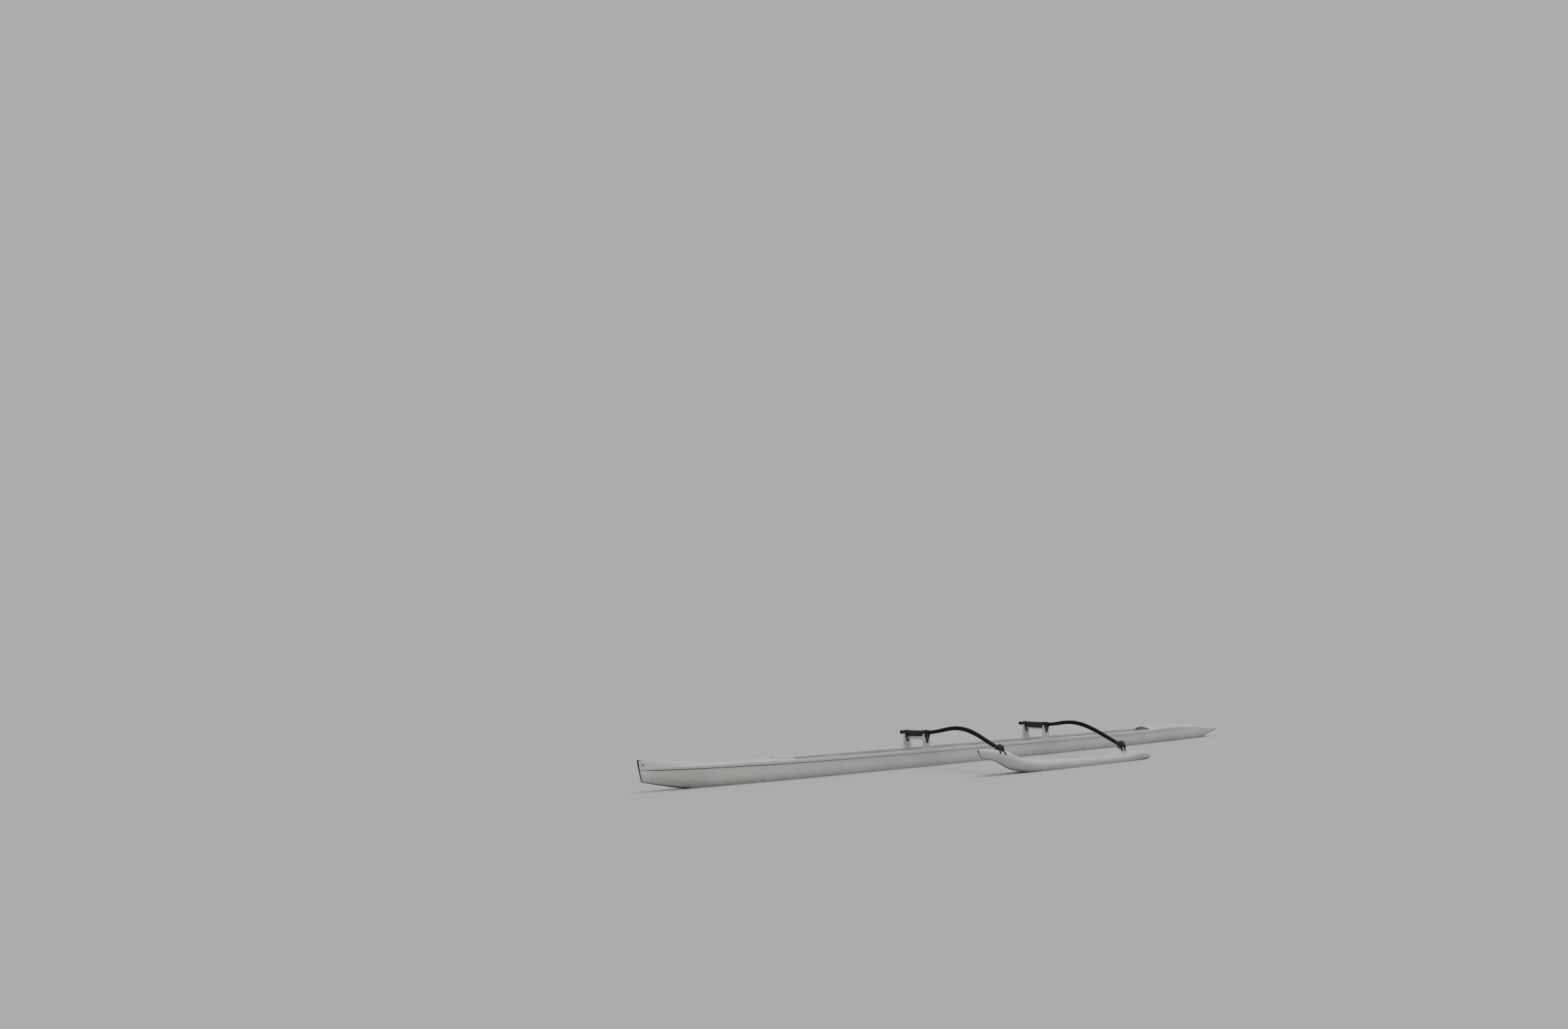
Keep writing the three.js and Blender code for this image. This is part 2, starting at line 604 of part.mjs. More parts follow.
// A post that stands on a gunwale, flared at its foot, with a saddle for the beam.
function postBody(name, hand, grow) {
  const x = BEAM_X[name];
  const y = hand * postCentre(name);
  const foot = sheer(x) + POST.sunk;
  const head = underside(name, hand) + POST.saddle;
  const levels = [...POST_FOOT.map(([h, half]) => [foot + h, half]),
    ...POST_HEAD.map(([h, half]) => [head - h, half])];
  return loftSolid(levels.map(([z, length]) => {
    const long = length + grow;
    const half = POST.half + grow;
    const cut = POST.corner;
    const corners = [[long, half - cut], [long - cut, half], [-long + cut, half], [-long, half - cut],
      [-long, -half + cut], [-long + cut, -half], [long - cut, -half], [long, -half + cut]];
    return corners.map(([u, v]) => new THREE.Vector3(x + u, y + v, z));
  }));
}

function post(name, hand) {
  const hole = crossPin(BEAM_X[name], -BEYOND.y, BEYOND.y, POST.hole, POST.holeRadius + FIT, 12);
  return postBody(name, hand, 0).subtract(gunwale(hand, FIT)).subtract(beamBody(name, FIT)).subtract(hole);
}

function crossbar(name) {
  const x = BEAM_X[name];
  const reach = postCentre(name) - POST.half - FIT;
  return block([x - CROSSBAR.half, -reach, CROSSBAR.low], [x + CROSSBAR.half, reach, CROSSBAR.high]);
}

// Lashing of a beam to one post: turns round the beam, a V outboard, a U inboard
// round the crossbar, and the turns that pass through the post's hole.
function hullLashing(name, hand) {
  const x = BEAM_X[name];
  const outer = postCentre(name) + POST.half + FIT;
  const inner = postCentre(name) - POST.half - FIT;
  const span = (a, b) => (hand > 0 ? [a, b] : [-b, -a]);
  const { half, low: bottom, high } = WRAP.zone;
  const slab = (a, b, wide, from, to) => {
    const [starboard, port] = span(a, b);
    return block([x - wide, starboard, from], [x + wide, port, to]);
  };
  const turns = beamBody(name, WRAP.thin).intersect(slab(FIT, WRAP.end, half, bottom, high))
    .add(beamBody(name, WRAP.thick).intersect(slab(WRAP.from, WRAP.to, half, bottom, high)))
    .add(slab(FIT, inner, WRAP.underHalf, WRAP.under, WRAP.underTop));
  const top = underside(name, hand) + POST.saddle / 2;
  const low = POST.hole - POST.holeRadius - 2;
  const vee = [[VEE.aft, top], [VEE.footAft, low], [VEE.footFore, low], [VEE.fore, top],
    [VEE.foreInner, top], [VEE.notchX, low + VEE.notch], [VEE.aftInner, top]];
  const wide = CROSSBAR.half + YOKE.clear;
  const yoke = [[-YOKE.top, top], [-YOKE.foot, low], [YOKE.foot, low], [YOKE.top, top], [wide, top],
    [wide, low + YOKE.under], [-wide, low + YOKE.under], [-wide, top]];
  const shift = (outline) => outline.map(([u, z]) => [x + u, z]);
  const outboard = plate(shift(vee), ...span(outer, outer + WRAP.plate));
  const inboard = plate(shift(yoke), ...span(inner - WRAP.plate, inner));
  const pin = crossPin(x, ...span(inner - 2, outer + 2), POST.hole, POST.holeRadius, 12);
  return turns.add(outboard).add(inboard).subtract(beamBody(name, FIT))
    .subtract(postBody(name, hand, FIT)).add(pin.intersect(postBody(name, hand, FIT + 1)));
}

// Float

const floatTop = through(FLOAT, 1);
const floatKeel = through(FLOAT, 2);
const floatHalf = through(FLOAT, 3);

function floatBody(grow) {
  const { points, waist, above, below, across } = FLOAT_SECTION;
  const soften = (value, power) => Math.sign(value) * Math.abs(value) ** power;
  return loftSolid(FLOAT_STATIONS.map((x) => {
    const middle = floatKeel(x) + (floatTop(x) - floatKeel(x)) * waist;
    const ring = [];
    for (let i = 0; i < points; i += 1) {
      const turn = (2 * Math.PI * (i + 0.5)) / points;
      const up = Math.sin(turn) > 0;
      const reach = grow + (up ? floatTop(x) - middle : middle - floatKeel(x));
      const y = FLOAT_Y + (floatHalf(x) + grow) * soften(Math.cos(turn), across);
      ring.push(new THREE.Vector3(x, y, middle + reach * soften(Math.sin(turn), up ? above : below)));
    }
    return ring;
  }));
}

function pylonBody(grow) {
  const points = 20;
  return loftSolid(PYLON.map(([z, fore, aft, half]) => {
    const ring = [];
    for (let i = 0; i < points; i += 1) {
      const turn = (2 * Math.PI * i) / points;
      const long = (Math.cos(turn) > 0 ? fore : aft) + grow;
      const y = FLOAT_Y + (half + grow) * Math.sin(turn);
      ring.push(new THREE.Vector3(PYLON_X + long * Math.cos(turn), y, z));
    }
    return ring;
  }));
}

const floatSolid = floatBody(0);
const floatFit = floatBody(FIT);
const fitForeBeam = beamBody("fore", FIT);
const fitAftBeam = beamBody("aft", FIT);

// What lies outside the line of a black band along the float's edge, as a strip
// about its centre plane; corner is a point beyond the float's end.
function floatBandZone(xs, corner, clearance) {
  const depth = FLOAT_BAND.depth + clearance;
  const half = FLOAT_BAND.half + clearance;
  const line = xs.map((x) => [x, floatKeel(x) + depth]);
  const last = line[line.length - 1][0];
  return plate([[line[0][0], BEYOND.low], ...line, [last, corner[1]], corner, [corner[0], BEYOND.low]],
    FLOAT_Y - half, FLOAT_Y + half);
}

const noseZone = (clearance) => floatBandZone(NOSE_BAND, [2000, 411], clearance);
const tailZone = (clearance) => floatBandZone(TAIL_BAND, [-2400, 56], clearance);

const ama = floatSolid.subtract(noseZone(FIT)).subtract(tailZone(FIT));
const pylon = pylonBody(0).subtract(floatFit).subtract(fitAftBeam);

// Lashing of a beam to the float: a collar round the beam's end, a pad of turns over
// what carries it, and two straps down each side, each by the x of its top and foot.
function floatLashing(name, carrier) {
  const x = BEAM_X[name];
  const { pad, straps, thick, thin, fits } = carrier;
  const { from, to, grow, low, high } = COLLAR;
  const { half, reach } = STRAP;
  const collar = beamBody(name, grow)
    .intersect(block([x - COLLAR.half, from, low], [x + COLLAR.half, to, high]));
  const knobFoot = beamHeight[name](KNOB.to);
  const knob = beamBody(name, KNOB.high)
    .intersect(block([x - KNOB.half, KNOB.from, knobFoot], [x + KNOB.half, KNOB.to, high]));
  const saddle = thick.intersect(block([x - pad.aft, from - PAD_OVER.inboard, pad.low],
    [x + pad.fore, to + PAD_OVER.outboard, high]));
  const legs = straps.map(([top, foot]) => plate([[x + top - half, STRAP.top], [x + foot - half, pad.foot],
    [x + foot + half, pad.foot], [x + top + half, STRAP.top]], FLOAT_Y - reach, FLOAT_Y + reach))
    .reduce((all, leg) => all.add(leg)).intersect(thin);
  return fits.reduce((body, fit) => body.subtract(fit), collar.add(knob).add(saddle).add(legs));
}

const foreFloatLashing = floatLashing("fore", {
  thick: floatBody(15),
  thin: floatBody(9),
  pad: { aft: 72, fore: 60, low: 350, foot: 312 },
  straps: [[48, 72], [-10, -46]],
  fits: [floatFit, fitForeBeam],
});
const aftFloatLashing = floatLashing("aft", {
  thick: pylonBody(13),
  thin: pylonBody(9),
  pad: { aft: 78, fore: 50, low: 234, foot: 184 },
  straps: [[37, 20], [-38, -62]],
  fits: [floatFit, pylonBody(FIT), fitAftBeam],
});

const foreBeam = beamBody("fore", 0).subtract(floatFit);
const aftBeam = beamBody("aft", 0).subtract(floatFit);

// The assembly

function mesh(name, solid, material) {
  const item = new THREE.Mesh(geometryOf(solid), material);
  item.geometry.computeVertexNormals();
  item.name = name;
  return item;
}

function group(...items) {
  return new THREE.Group().add(...items);
}

const hull = group(
  mesh("foredeck", foreDeck, COLOURS.deck),
  mesh("aft_deck", aftDeck, COLOURS.deck),
  mesh("splash_guard", splashGuard(), COLOURS.deck),
  mesh("bow_bulkhead", bulkhead(BULKHEAD_FACE.bow), COLOURS.inside),
  mesh("stern_bulkhead", bulkhead(BULKHEAD_FACE.stern), COLOURS.inside),
  mesh("bow_hatch", hatch(BULKHEAD_FACE.bow - BULKHEAD - FIT, 1), COLOURS.band),
  mesh("stern_hatch", hatch(BULKHEAD_FACE.stern + FIT, -1), COLOURS.band),
  mesh("bow_band", bowBand, COLOURS.band),
  mesh("stern_band", sternBand, COLOURS.band),
);
for (const [name, fore, aft] of HULL_LENGTHS) {
  hull.add(mesh(`hull_${name}`, lengthOf(hullShell, fore, aft), COLOURS.hull));
}
for (const [side, hand] of SIDES) {
  for (const [name, fore, aft] of GUNWALE_LENGTHS) {
    hull.add(mesh(`gunwale_${side}_${name}`, lengthOf(gunwale(hand, 0), fore, aft), COLOURS.deck));
  }
}
for (let i = 0; i < SEAT.count; i += 1) {
  hull.add(mesh(`seat_${i + 1}`, seat(SEAT.first - i * SEAT.pitch), COLOURS.inside));
}

const rig = group(
  mesh("fore_iako", foreBeam, COLOURS.wood),
  mesh("aft_iako", aftBeam, COLOURS.wood),
  mesh("fore_float_lashing", foreFloatLashing, COLOURS.lashing),
  mesh("aft_float_lashing", aftFloatLashing, COLOURS.lashing),
);
for (const name of ["fore", "aft"]) {
  rig.add(mesh(`${name}_crossbar`, crossbar(name), COLOURS.deck));
  for (const [side, hand] of SIDES) {
    rig.add(mesh(`${name}_post_${side}`, post(name, hand), COLOURS.deck));
    rig.add(mesh(`${name}_hull_lashing_${side}`, hullLashing(name, hand), COLOURS.lashing));
  }
}

const float = group(
  mesh("ama", ama, COLOURS.hull),
  mesh("ama_pylon", pylon, COLOURS.hull),
  mesh("ama_nose_band", floatSolid.intersect(noseZone(0)), COLOURS.band),
  mesh("ama_tail_band", floatSolid.intersect(tailZone(0)), COLOURS.band),
);

export default group(hull, rig, float);
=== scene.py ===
# Looks of a six-seat outrigger canoe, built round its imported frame.
# Metres. +X points to the bow, +Y to port, where the float is, and +Z up.
# The floor is the waterline, at height 0.
import math

import bmesh
import bpy
from mathutils import Matrix, Vector, noise


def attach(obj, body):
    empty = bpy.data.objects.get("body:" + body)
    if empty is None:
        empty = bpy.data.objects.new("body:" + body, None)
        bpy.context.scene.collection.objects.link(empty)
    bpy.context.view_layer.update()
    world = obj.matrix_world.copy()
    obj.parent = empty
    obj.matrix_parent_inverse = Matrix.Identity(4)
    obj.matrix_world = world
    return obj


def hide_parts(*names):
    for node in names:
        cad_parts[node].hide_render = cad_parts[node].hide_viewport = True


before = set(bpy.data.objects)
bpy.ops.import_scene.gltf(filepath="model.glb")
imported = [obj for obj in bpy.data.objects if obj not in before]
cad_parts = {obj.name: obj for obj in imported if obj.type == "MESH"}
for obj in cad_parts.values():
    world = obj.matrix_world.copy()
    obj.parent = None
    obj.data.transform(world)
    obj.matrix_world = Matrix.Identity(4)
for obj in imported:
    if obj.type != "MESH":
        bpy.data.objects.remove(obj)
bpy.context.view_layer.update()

MM = 0.001
SIDES = (("port", 1), ("starboard", -1))
SHARP = 38  # the angle, in degrees, from which an edge is drawn sharp
LOOSE_SHARP = 60  # the same on lashings

# Hull
WALL = 0.010  # laminate of the hull
KEEL_FLAT = 0.010  # half width of the flat along the keel
RAIL_DEPTH = 0.032  # a gunwale's reach inboard of the hull's side
STEM_X = 6.723  # stem at its lower corner
KNEE_Z = 0.149  # height of that corner
STEM_LEAN = 0.2416  # forward lean of the stem, run over rise
LEAN_START = 5.9  # where the stations begin to lean
STERN_X = -6.795
STATION_STEP = 0.06
COCKPIT = (-4.48, 4.06)
CAVITY = (-5.95, 6.18)  # the stations between which the hull is hollow
RAILS = (-6.7945, 6.722)
DECK_ROUND = 0.012  # radius of a deck's outer edge
DECK_LIFT = 0.0006  # rise of a deck's skin over the rails that it covers
CROWN = 1.7  # how flat a deck is along its middle
DECK_SKIN = 0.012
FLOOR_REACH = 400.0
FLOOR_OPENING = (-6.24, 5.86)  # where the hull is under the floor's height
BULKHEAD = 0.014
BULKHEAD_FACE = {"bow": 4.140, "stern": -4.546}
SKIN_GAP = 0.0006  # between skins that touch
TRIM_PROUD = 0.0014  # rise of the black trim over the skin under it
TRIM_SUNK = 0.0015  # depth of its underside in that skin
ROLLED_EDGE = (0.006, 0.0045)  # length and drop of the roll at a deck's open end
BOW_CORE = 0.2  # the foredeck's skin thickens by this into a solid bow
BOW_CORE_STARTS = (6.25, 6.45)  # between these stations
TOW_HOLE = (6.710, 0.398, 0.0112)  # x, z and radius
# Its sleeve's lip: radius and rise off the skin.
SLEEVE_LIP = ((0.0110, -0.0015), (0.0130, 0.0002), (0.0126, 0.0014), (0.0102, 0.0016), (0.0088, 0.0008))
# Depth of the bow's edge trim at its places, and length of its hook along the deck.
BOW_BAND = {"keel": 0.018, "knee": 0.010, "stem": 0.006, "head": 0.016, "hook": 0.060}
STERN_BAND = 0.016
# Stations between which the dark line under the rail runs: a black seam, and painted shadow under the
# rail's overhang.
STRIPE_REACH = (-5.30, 6.705)
# Splash guard: stations of its apex and feet, reach to a side, thickness and height.
GUARD = {"apex": 4.386, "foot": 4.112, "reach": 0.163, "thick": 0.030, "tall": 0.034}

# Hatches: radius and rise off the bulkhead, from the lid's middle out, and of a screw's head.
HATCH = (
    (0.020, 0.007), (0.046, 0.0065), (0.052, 0.0085), (0.055, 0.0125), (0.060, 0.0135),
    (0.0615, 0.009), (0.063, 0.009), (0.0645, 0.0095), (0.067, 0.0105), (0.073, 0.0095),
    (0.0765, 0.006), (0.078, 0.002), (0.078, 0.0),
)
HATCH_GRIP = 0.042  # half length of a grip across the lid
HATCH_RAISED = 0.040  # rise of its middle over the middle of the hull's depth
SCREW = ((0.0032, 0.0), (0.0032, 0.0008), (0.0022, 0.0016), (0.0008, 0.0019))
SCREW_RING = (0.070, 0.0095)  # radius of the ring of screws, and its rise

# Stain at the waterline, and painted shade where the hull turns down towards the water: the
# heights between which it grows, the stations between which it climbs towards the bow, and how far.
STAIN_AND_SHADE_HEIGHTS = (0.13, -0.02)
STAIN_AND_SHADE_CLIMBS = (5.5, 6.7)
STAIN_AND_SHADE_CLIMB = 0.15

# Seats
SEAT_TOP_X = 3.03  # middle of the foremost seat
SEAT_PITCH = 1.43
SEAT_HALF = 0.125
SEAT_LIP = 0.045  # height of its turned-down edges
SEAT_SKIN = 0.012
SEAT_ROLL = 0.026  # radius of a seat's fore and aft edges
SEAT_DISH = 0.006
SEAT_DROP = 0.070  # below the sheer
# Rise of a seat towards the hull's sides: distance from the middle, rise.
SEAT_SIDES = ((0.150, 0.0), (0.190, 0.012), (0.225, 0.022), (0.260, 0.022))

# Beams, posts and lashings
BEAM_X = {"fore": 1.388, "aft": -1.500}
BEAM_HALF_WIDTH = 0.027
BEAM_CORNER = 0.012
BEAM_SIDES = 56
# Rounding of a beam's ends: length past the end row, and share of the section's size.
BEAM_END = ((0.012, 0.72), (0.0105, 0.84), (0.0075, 0.93), (0.0035, 0.985))
STRIPS_A_METRE = 110.0  # how many strips of timber a metre of height would take
POST_HALF = 0.020
POST_INSET = 0.009  # of its middle, from the hull's side
POST_SUNK = 0.030  # rise of its foot over the sheer, within the rail
POST_SADDLE = 0.014  # rise of its head over the beam's underside
# Half length of a post at heights over its foot, and below its head.
POST_FOOT = ((0, 0.094), (0.024, 0.092), (0.044, 0.080), (0.080, 0.074), (0.160, 0.072))
POST_HEAD = ((0.010, 0.071), (0.0, 0.063))
POST_CORNER = 0.010
SEATING = 0.0008  # clearance of a beam in the posts and the pylon
POST_HOLE_Z = 0.392
CROSSBAR = (0.436, 0.467)  # heights of its underside and top
CROSSBAR_HALF = 0.015
CROSSBAR_CORNER = 0.006

# Strands from the beam to the post's hole: x at the beam outboard and inboard of the post,
# from the post's middle, and lift off the post.
STRANDS = (
    (0.056, -0.036, 0.0), (-0.060, 0.037, 0.0), (0.043, -0.031, 0.0020), (-0.047, 0.030, 0.0020),
    (0.031, -0.040, 0.0035), (-0.034, 0.041, 0.0035), (0.018, -0.026, 0.0050),
    (-0.021, 0.025, 0.0050),
)
STRAND = (0.0125, 0.0048)  # width and height
STRIP_SIDES = 10
STRIP_END = (0.45, 0.80, 0.95)  # share of its size that a strip has at its last points
# Turns round a beam, in layers: start and end outboard of the boat's middle, pitch, lift off the
# beam, width and height of the strip, share of the sag between the posts, and first turn.
WRAPS = (
    (-0.006, 0.306, 0.0145, 0.0000, 0.0200, 0.0052, 1.0, 0.0),
    (0.300, 0.274, 0.0190, 0.0045, 0.0180, 0.0055, 0.0, 0.4),
    (0.214, 0.006, 0.0190, 0.0045, 0.0180, 0.0055, 0.9, 0.1),
    (-0.006, 0.190, 0.0210, 0.0088, 0.0180, 0.0050, 0.8, 0.7),
)
WRAP_SAG = (0.017, 0.205, 0.228)  # droop under the beam, and the stations outboard where it ends
WANDER = (0.0022, 0.0013)  # how far a turn strays along a beam and off it

# Float
FLOAT_Y = 1.920
FLOAT_WAIST = 0.56  # height of the widest part, as a share of the depth
FLOAT_ABOVE = (0.90, 0.86)  # how round a section is across and up, above the waist
FLOAT_BELOW = (0.90, 1.04)
FLOAT_VEE = (2.0, 1.0)  # the same below the waist at the nose, which has a sharp keel
VEE_STARTS = (0.8, 1.5)
FLOAT_ENDS = (-2.270, 1.855)
# The tail's band is made wider than the trim, as painted shadow at the water along the tail's lower edge.
FLOAT_BAND = {"nose": (0.006, 0.011), "keel": (0.014, 0.016), "tail": (0.014, 0.035)}  # depth, half
CORD = (0.0125, 0.0085)  # width and height of the cords that hold the float
PADS = (-0.048, -0.038, 0.038, 0.048)  # places, from the fore beam, of the cords over the float
PAD = (0.0130, 0.0065)  # their width and height
# Turns round a beam's end, in layers: start and end outboard of the boat's middle, pitch, lift
# off the beam, width and height of the strip, and first turn.
COLLARS = (
    (1.866, 1.976, 0.0135, 0.0, 0.0190, 0.0060, 0.0),
    (1.972, 1.872, 0.0170, 0.0055, 0.0180, 0.0060, 0.3),
)
CROSSING = (1.935, 0.024, 0.009)  # its middle outboard, half its spread, and between its cords
# Turns round the pylon's neck: where round it their middle is, row, and distance off the skin.
NECK_HEIGHT = 0.243
NECK_TURNS = (
    (0, -1, 0.002), (0, 0, 0.008), (0, 1, 0.003),
    (math.pi, -1, 0.002), (math.pi, 0, 0.006), (math.pi, 1, 0.003),
)
# Loose end over the aft beam: place along the boat, outboard, and rise over the cords.
LOOSE_END = ((0.0, 1.925, 0.0), (-0.010, 1.945, 0.008), (-0.024, 1.968, 0.006), (-0.036, 1.990, -0.002))
# Pylon under the aft beam, whose sides sweep out into the float. For its forward and after
# sides: reach at the head and foot, height of the neck, share of the way from head to foot
# and rise over the float where the sweep bends.
PYLON_X = -1.536
PYLON_TOP = 0.262
PYLON_HALF = (0.038, 0.092)  # half widths at the head and foot
PYLON_EDGE = ((0.0, 0.004), (0.0012, 0.0012), (0.004, 0.0))  # drop and inset of its rounded edge
PYLON_SOLE = 0.07  # height of its underside, within the float
PYLON_SWEEP = {1: (0.082, 0.46, 0.180, 0.155, 0.034), -1: (0.080, 0.26, 0.185, 0.300, 0.008)}

# Hull: station, half beam at the sheer, sheer, keel, fullness of the section,
# height of the rail or deck edge over the sheer, its overhang outboard.
LINES = (
    (6.723, 0.014, 0.326, 0.149, 1.25, 0.040, 0.001),
    (6.400, 0.050, 0.310, 0.077, 1.3, 0.041, 0.006),
    (6.000, 0.092, 0.296, 0.006, 1.4, 0.043, 0.010),
    (5.500, 0.136, 0.284, -0.060, 1.55, 0.046, 0.012),
    (5.000, 0.168, 0.274, -0.118, 1.7, 0.050, 0.014),
    (4.300, 0.203, 0.260, -0.175, 1.85, 0.050, 0.015),
    (3.300, 0.233, 0.249, -0.222, 2.0, 0.050, 0.015),
    (1.800, 0.250, 0.238, -0.252, 2.1, 0.050, 0.015),
    (0.000, 0.255, 0.230, -0.262, 2.15, 0.050, 0.015),
    (-1.800, 0.250, 0.222, -0.256, 2.1, 0.050, 0.015),
    (-3.300, 0.233, 0.215, -0.232, 2.0, 0.050, 0.015),
    (-4.300, 0.206, 0.214, -0.195, 1.85, 0.050, 0.014),
    (-5.000, 0.174, 0.221, -0.148, 1.7, 0.046, 0.009),
    (-5.500, 0.143, 0.220, -0.108, 1.6, 0.040, 0.003),
    (-6.000, 0.102, 0.199, -0.060, 1.5, 0.025, 0.0),
    (-6.300, 0.072, 0.178, -0.016, 1.5, 0.013, 0.0),
    (-6.400, 0.061, 0.171, 0.028, 1.5, 0.010, 0.0),
    (-6.600, 0.038, 0.155, 0.088, 1.5, 0.006, 0.0),
    (-6.795, 0.009, 0.140, 0.134, 1.5, 0.003, 0.0),
)
# Ridge of the decks: station, height.
RIDGE = (
    (6.723, 0.475), (6.450, 0.455), (6.200, 0.424), (5.950, 0.394), (5.700, 0.374),
    (5.450, 0.352), (5.200, 0.340), (4.800, 0.334), (4.400, 0.332), (4.060, 0.328),
    (-4.480, 0.312), (-4.750, 0.320), (-5.000, 0.319), (-5.500, 0.298), (-6.000, 0.257),
    (-6.400, 0.213), (-6.650, 0.175), (-6.795, 0.148),
)
# Beams: distance to port, height of the centre line, height of the section.
BEAMS = {
    "fore": (
        (-0.382, 0.533, 0.056), (0.0, 0.538, 0.060), (0.254, 0.557, 0.060), (0.560, 0.603, 0.060),
        (0.790, 0.649, 0.063), (1.041, 0.670, 0.064), (1.290, 0.637, 0.063), (1.524, 0.559, 0.058),
        (1.750, 0.468, 0.054), (1.896, 0.421, 0.052), (1.965, 0.407, 0.050),
    ),
    "aft": (
        (-0.382, 0.522, 0.056), (0.0, 0.523, 0.060), (0.200, 0.529, 0.060), (0.440, 0.549, 0.061),
        (0.640, 0.581, 0.064), (0.849, 0.599, 0.064), (1.060, 0.581, 0.064), (1.302, 0.519, 0.062),
        (1.540, 0.431, 0.058), (1.737, 0.350, 0.055), (1.857, 0.304, 0.053), (1.915, 0.288, 0.052),
        (1.968, 0.276, 0.050),
    ),
}
# Float: station, top, keel, half width.
FLOAT = (
    (1.855, 0.418, 0.410, 0.003), (1.852, 0.422, 0.392, 0.007), (1.847, 0.424, 0.372, 0.011),
    (1.836, 0.425, 0.345, 0.018), (1.764, 0.422, 0.285, 0.044), (1.655, 0.414, 0.260, 0.067),
    (1.518, 0.402, 0.226, 0.086), (1.383, 0.384, 0.168, 0.099), (1.245, 0.362, 0.099, 0.108),
    (1.106, 0.302, 0.050, 0.114), (0.967, 0.246, 0.020, 0.119), (0.853, 0.222, -0.002, 0.122),
    (0.670, 0.198, -0.028, 0.124), (0.380, 0.174, -0.048, 0.125), (-0.030, 0.150, -0.067, 0.125),
    (-0.530, 0.132, -0.079, 0.122), (-1.030, 0.120, -0.078, 0.118), (-1.430, 0.128, -0.062, 0.112),
    (-1.730, 0.148, -0.039, 0.100), (-1.900, 0.158, -0.024, 0.088), (-2.020, 0.149, -0.010, 0.075),
    (-2.120, 0.130, 0.002, 0.058), (-2.190, 0.100, 0.012, 0.042), (-2.240, 0.070, 0.023, 0.026),
    (-2.270, 0.048, 0.032, 0.012),
)


# Curves

def span_at(xs, x):
    """Number and length of the span of a rising list that holds a value."""
    i = 0
    while i < len(xs) - 2 and x > xs[i + 1]:
        i += 1
    return i, xs[i + 1] - xs[i]


def through(rows, column):
    """A smooth curve through one column of a table, which never overshoots its rows."""
    rows = sorted(rows)
    xs = [row[0] for row in rows]
    ys = [row[column] for row in rows]
    slopes = [(ys[i + 1] - ys[i]) / (xs[i + 1] - xs[i]) for i in range(len(xs) - 1)]
    tangents = [slopes[0]]
    for before, after in zip(slopes, slopes[1:]):
        level = before * after <= 0
        tangents.append(0.0 if level else 2 * before * after / (before + after))
    tangents.append(slopes[-1])

    def value(x):
        i, span = span_at(xs, x)
        t = min(max((x - xs[i]) / span, 0.0), 1.0)
        rise = ys[i + 1] - ys[i]
        bend = tangents[i] * span * (1 - t) - tangents[i + 1] * span * t + rise * (2 * t - 1)
        return ys[i] + rise * t + t * (1 - t) * bend

    return value


def bent_through(rows, column):
    """A curve with an even bend through one column of a table in rising order."""
    xs = [row[0] for row in rows]
    ys = [row[column] for row in rows]
    bends = [0.0] * len(xs)
    shares = [0.0]
    for i in range(1, len(xs) - 1):
        before, after = xs[i] - xs[i - 1], xs[i + 1] - xs[i]
        turn = (ys[i + 1] - ys[i]) / after - (ys[i] - ys[i - 1]) / before
        weight = 2 * (before + after) - before * shares[-1]
        shares.append(after / weight)
        bends[i] = (6 * turn - before * bends[i - 1]) / weight
    for i in range(len(xs) - 2, 0, -1):
        bends[i] -= shares[i] * bends[i + 1]

    def value(x):
        i, span = span_at(xs, x)
        b = (x - xs[i]) / span
        a = 1 - b
        bow = (a ** 3 - a) * bends[i] + (b ** 3 - b) * bends[i + 1]
        return a * ys[i] + b * ys[i + 1] + bow * span * span / 6

    return value


def bezier(controls, t):
    """A point on the curve of four control points."""
    a, b, c, d = controls
    s = 1 - t
    return a * s ** 3 + b * (3 * s * s * t) + c * (3 * s * t * t) + d * t ** 3


def smoothstep(value, low, high):
    t = min(max((value - low) / (high - low), 0.0), 1.0)
    return t * t * (3 - 2 * t)


def steps(start, end, count):
    """Evenly spaced values from start to end, both taken."""
    return [start + (end - start) * i / count for i in range(count + 1)]


def last_before(low, high, count, holds):
    """Where a condition that holds at the low end stops holding."""
    for _ in range(count):
        middle = (low + high) / 2
        if holds(middle):
            low = middle
        else:
            high = middle
    return low


def outward(line):
    """Unit normals, to the left of the way along, at the points of an open outline."""
    last = len(line) - 1
    normals = []
    for i in range(last + 1):
        before, after = line[max(i - 1, 0)], line[min(i + 1, last)]
        run, rise = after[0] - before[0], after[1] - before[1]
        size = math.hypot(run, rise)
        normals.append((-rise / size, run / size))
    return normals


def full_turn(count):
    return [2 * math.pi * k / count for k in range(count)]


def corner_turns(count):
    """Sine and cosine over a quarter turn."""
    return [(math.sin(a), math.cos(a)) for a in steps(0, math.pi / 2, count)]


def wobble(*where):
    """A smooth irregularity from -1 to 1 that depends on place alone."""
    return noise.noise(Vector(where))


half_beam = through(LINES, 1)
sheer = through(LINES, 2)
keel = through(LINES, 3)
fullness = through(LINES, 4)
rail_height = through(LINES, 5)
rail_lip = through(LINES, 6)
ridge = through(RIDGE, 1)
float_top = through(FLOAT, 1)
float_keel = through(FLOAT, 2)
float_half = through(FLOAT, 3)
seat_lift = through(SEAT_SIDES, 1)
beam_height = {name: bent_through(rows, 1) for name, rows in BEAMS.items()}
beam_depth = {name: through(rows, 2) for name, rows in BEAMS.items()}


# Meshes

def loft(rings, looped=False):
    """Vertices and faces of a closed skin through rings of equal length, or of a looped tube."""
    count = len(rings[0])
    vertices = [point for ring in rings for point in ring]
    total = len(vertices)
    faces = []
    for r in range(len(rings) - (0 if looped else 1)):
        for i in range(count):
            a = r * count + i
            b = r * count + (i + 1) % count
            faces.append((a, b, (b + count) % total, (a + count) % total))
    if not looped:
        faces.append(tuple(range(count)))
        faces.append(tuple(range(total - 1, total - 1 - count, -1)))
    return vertices, faces


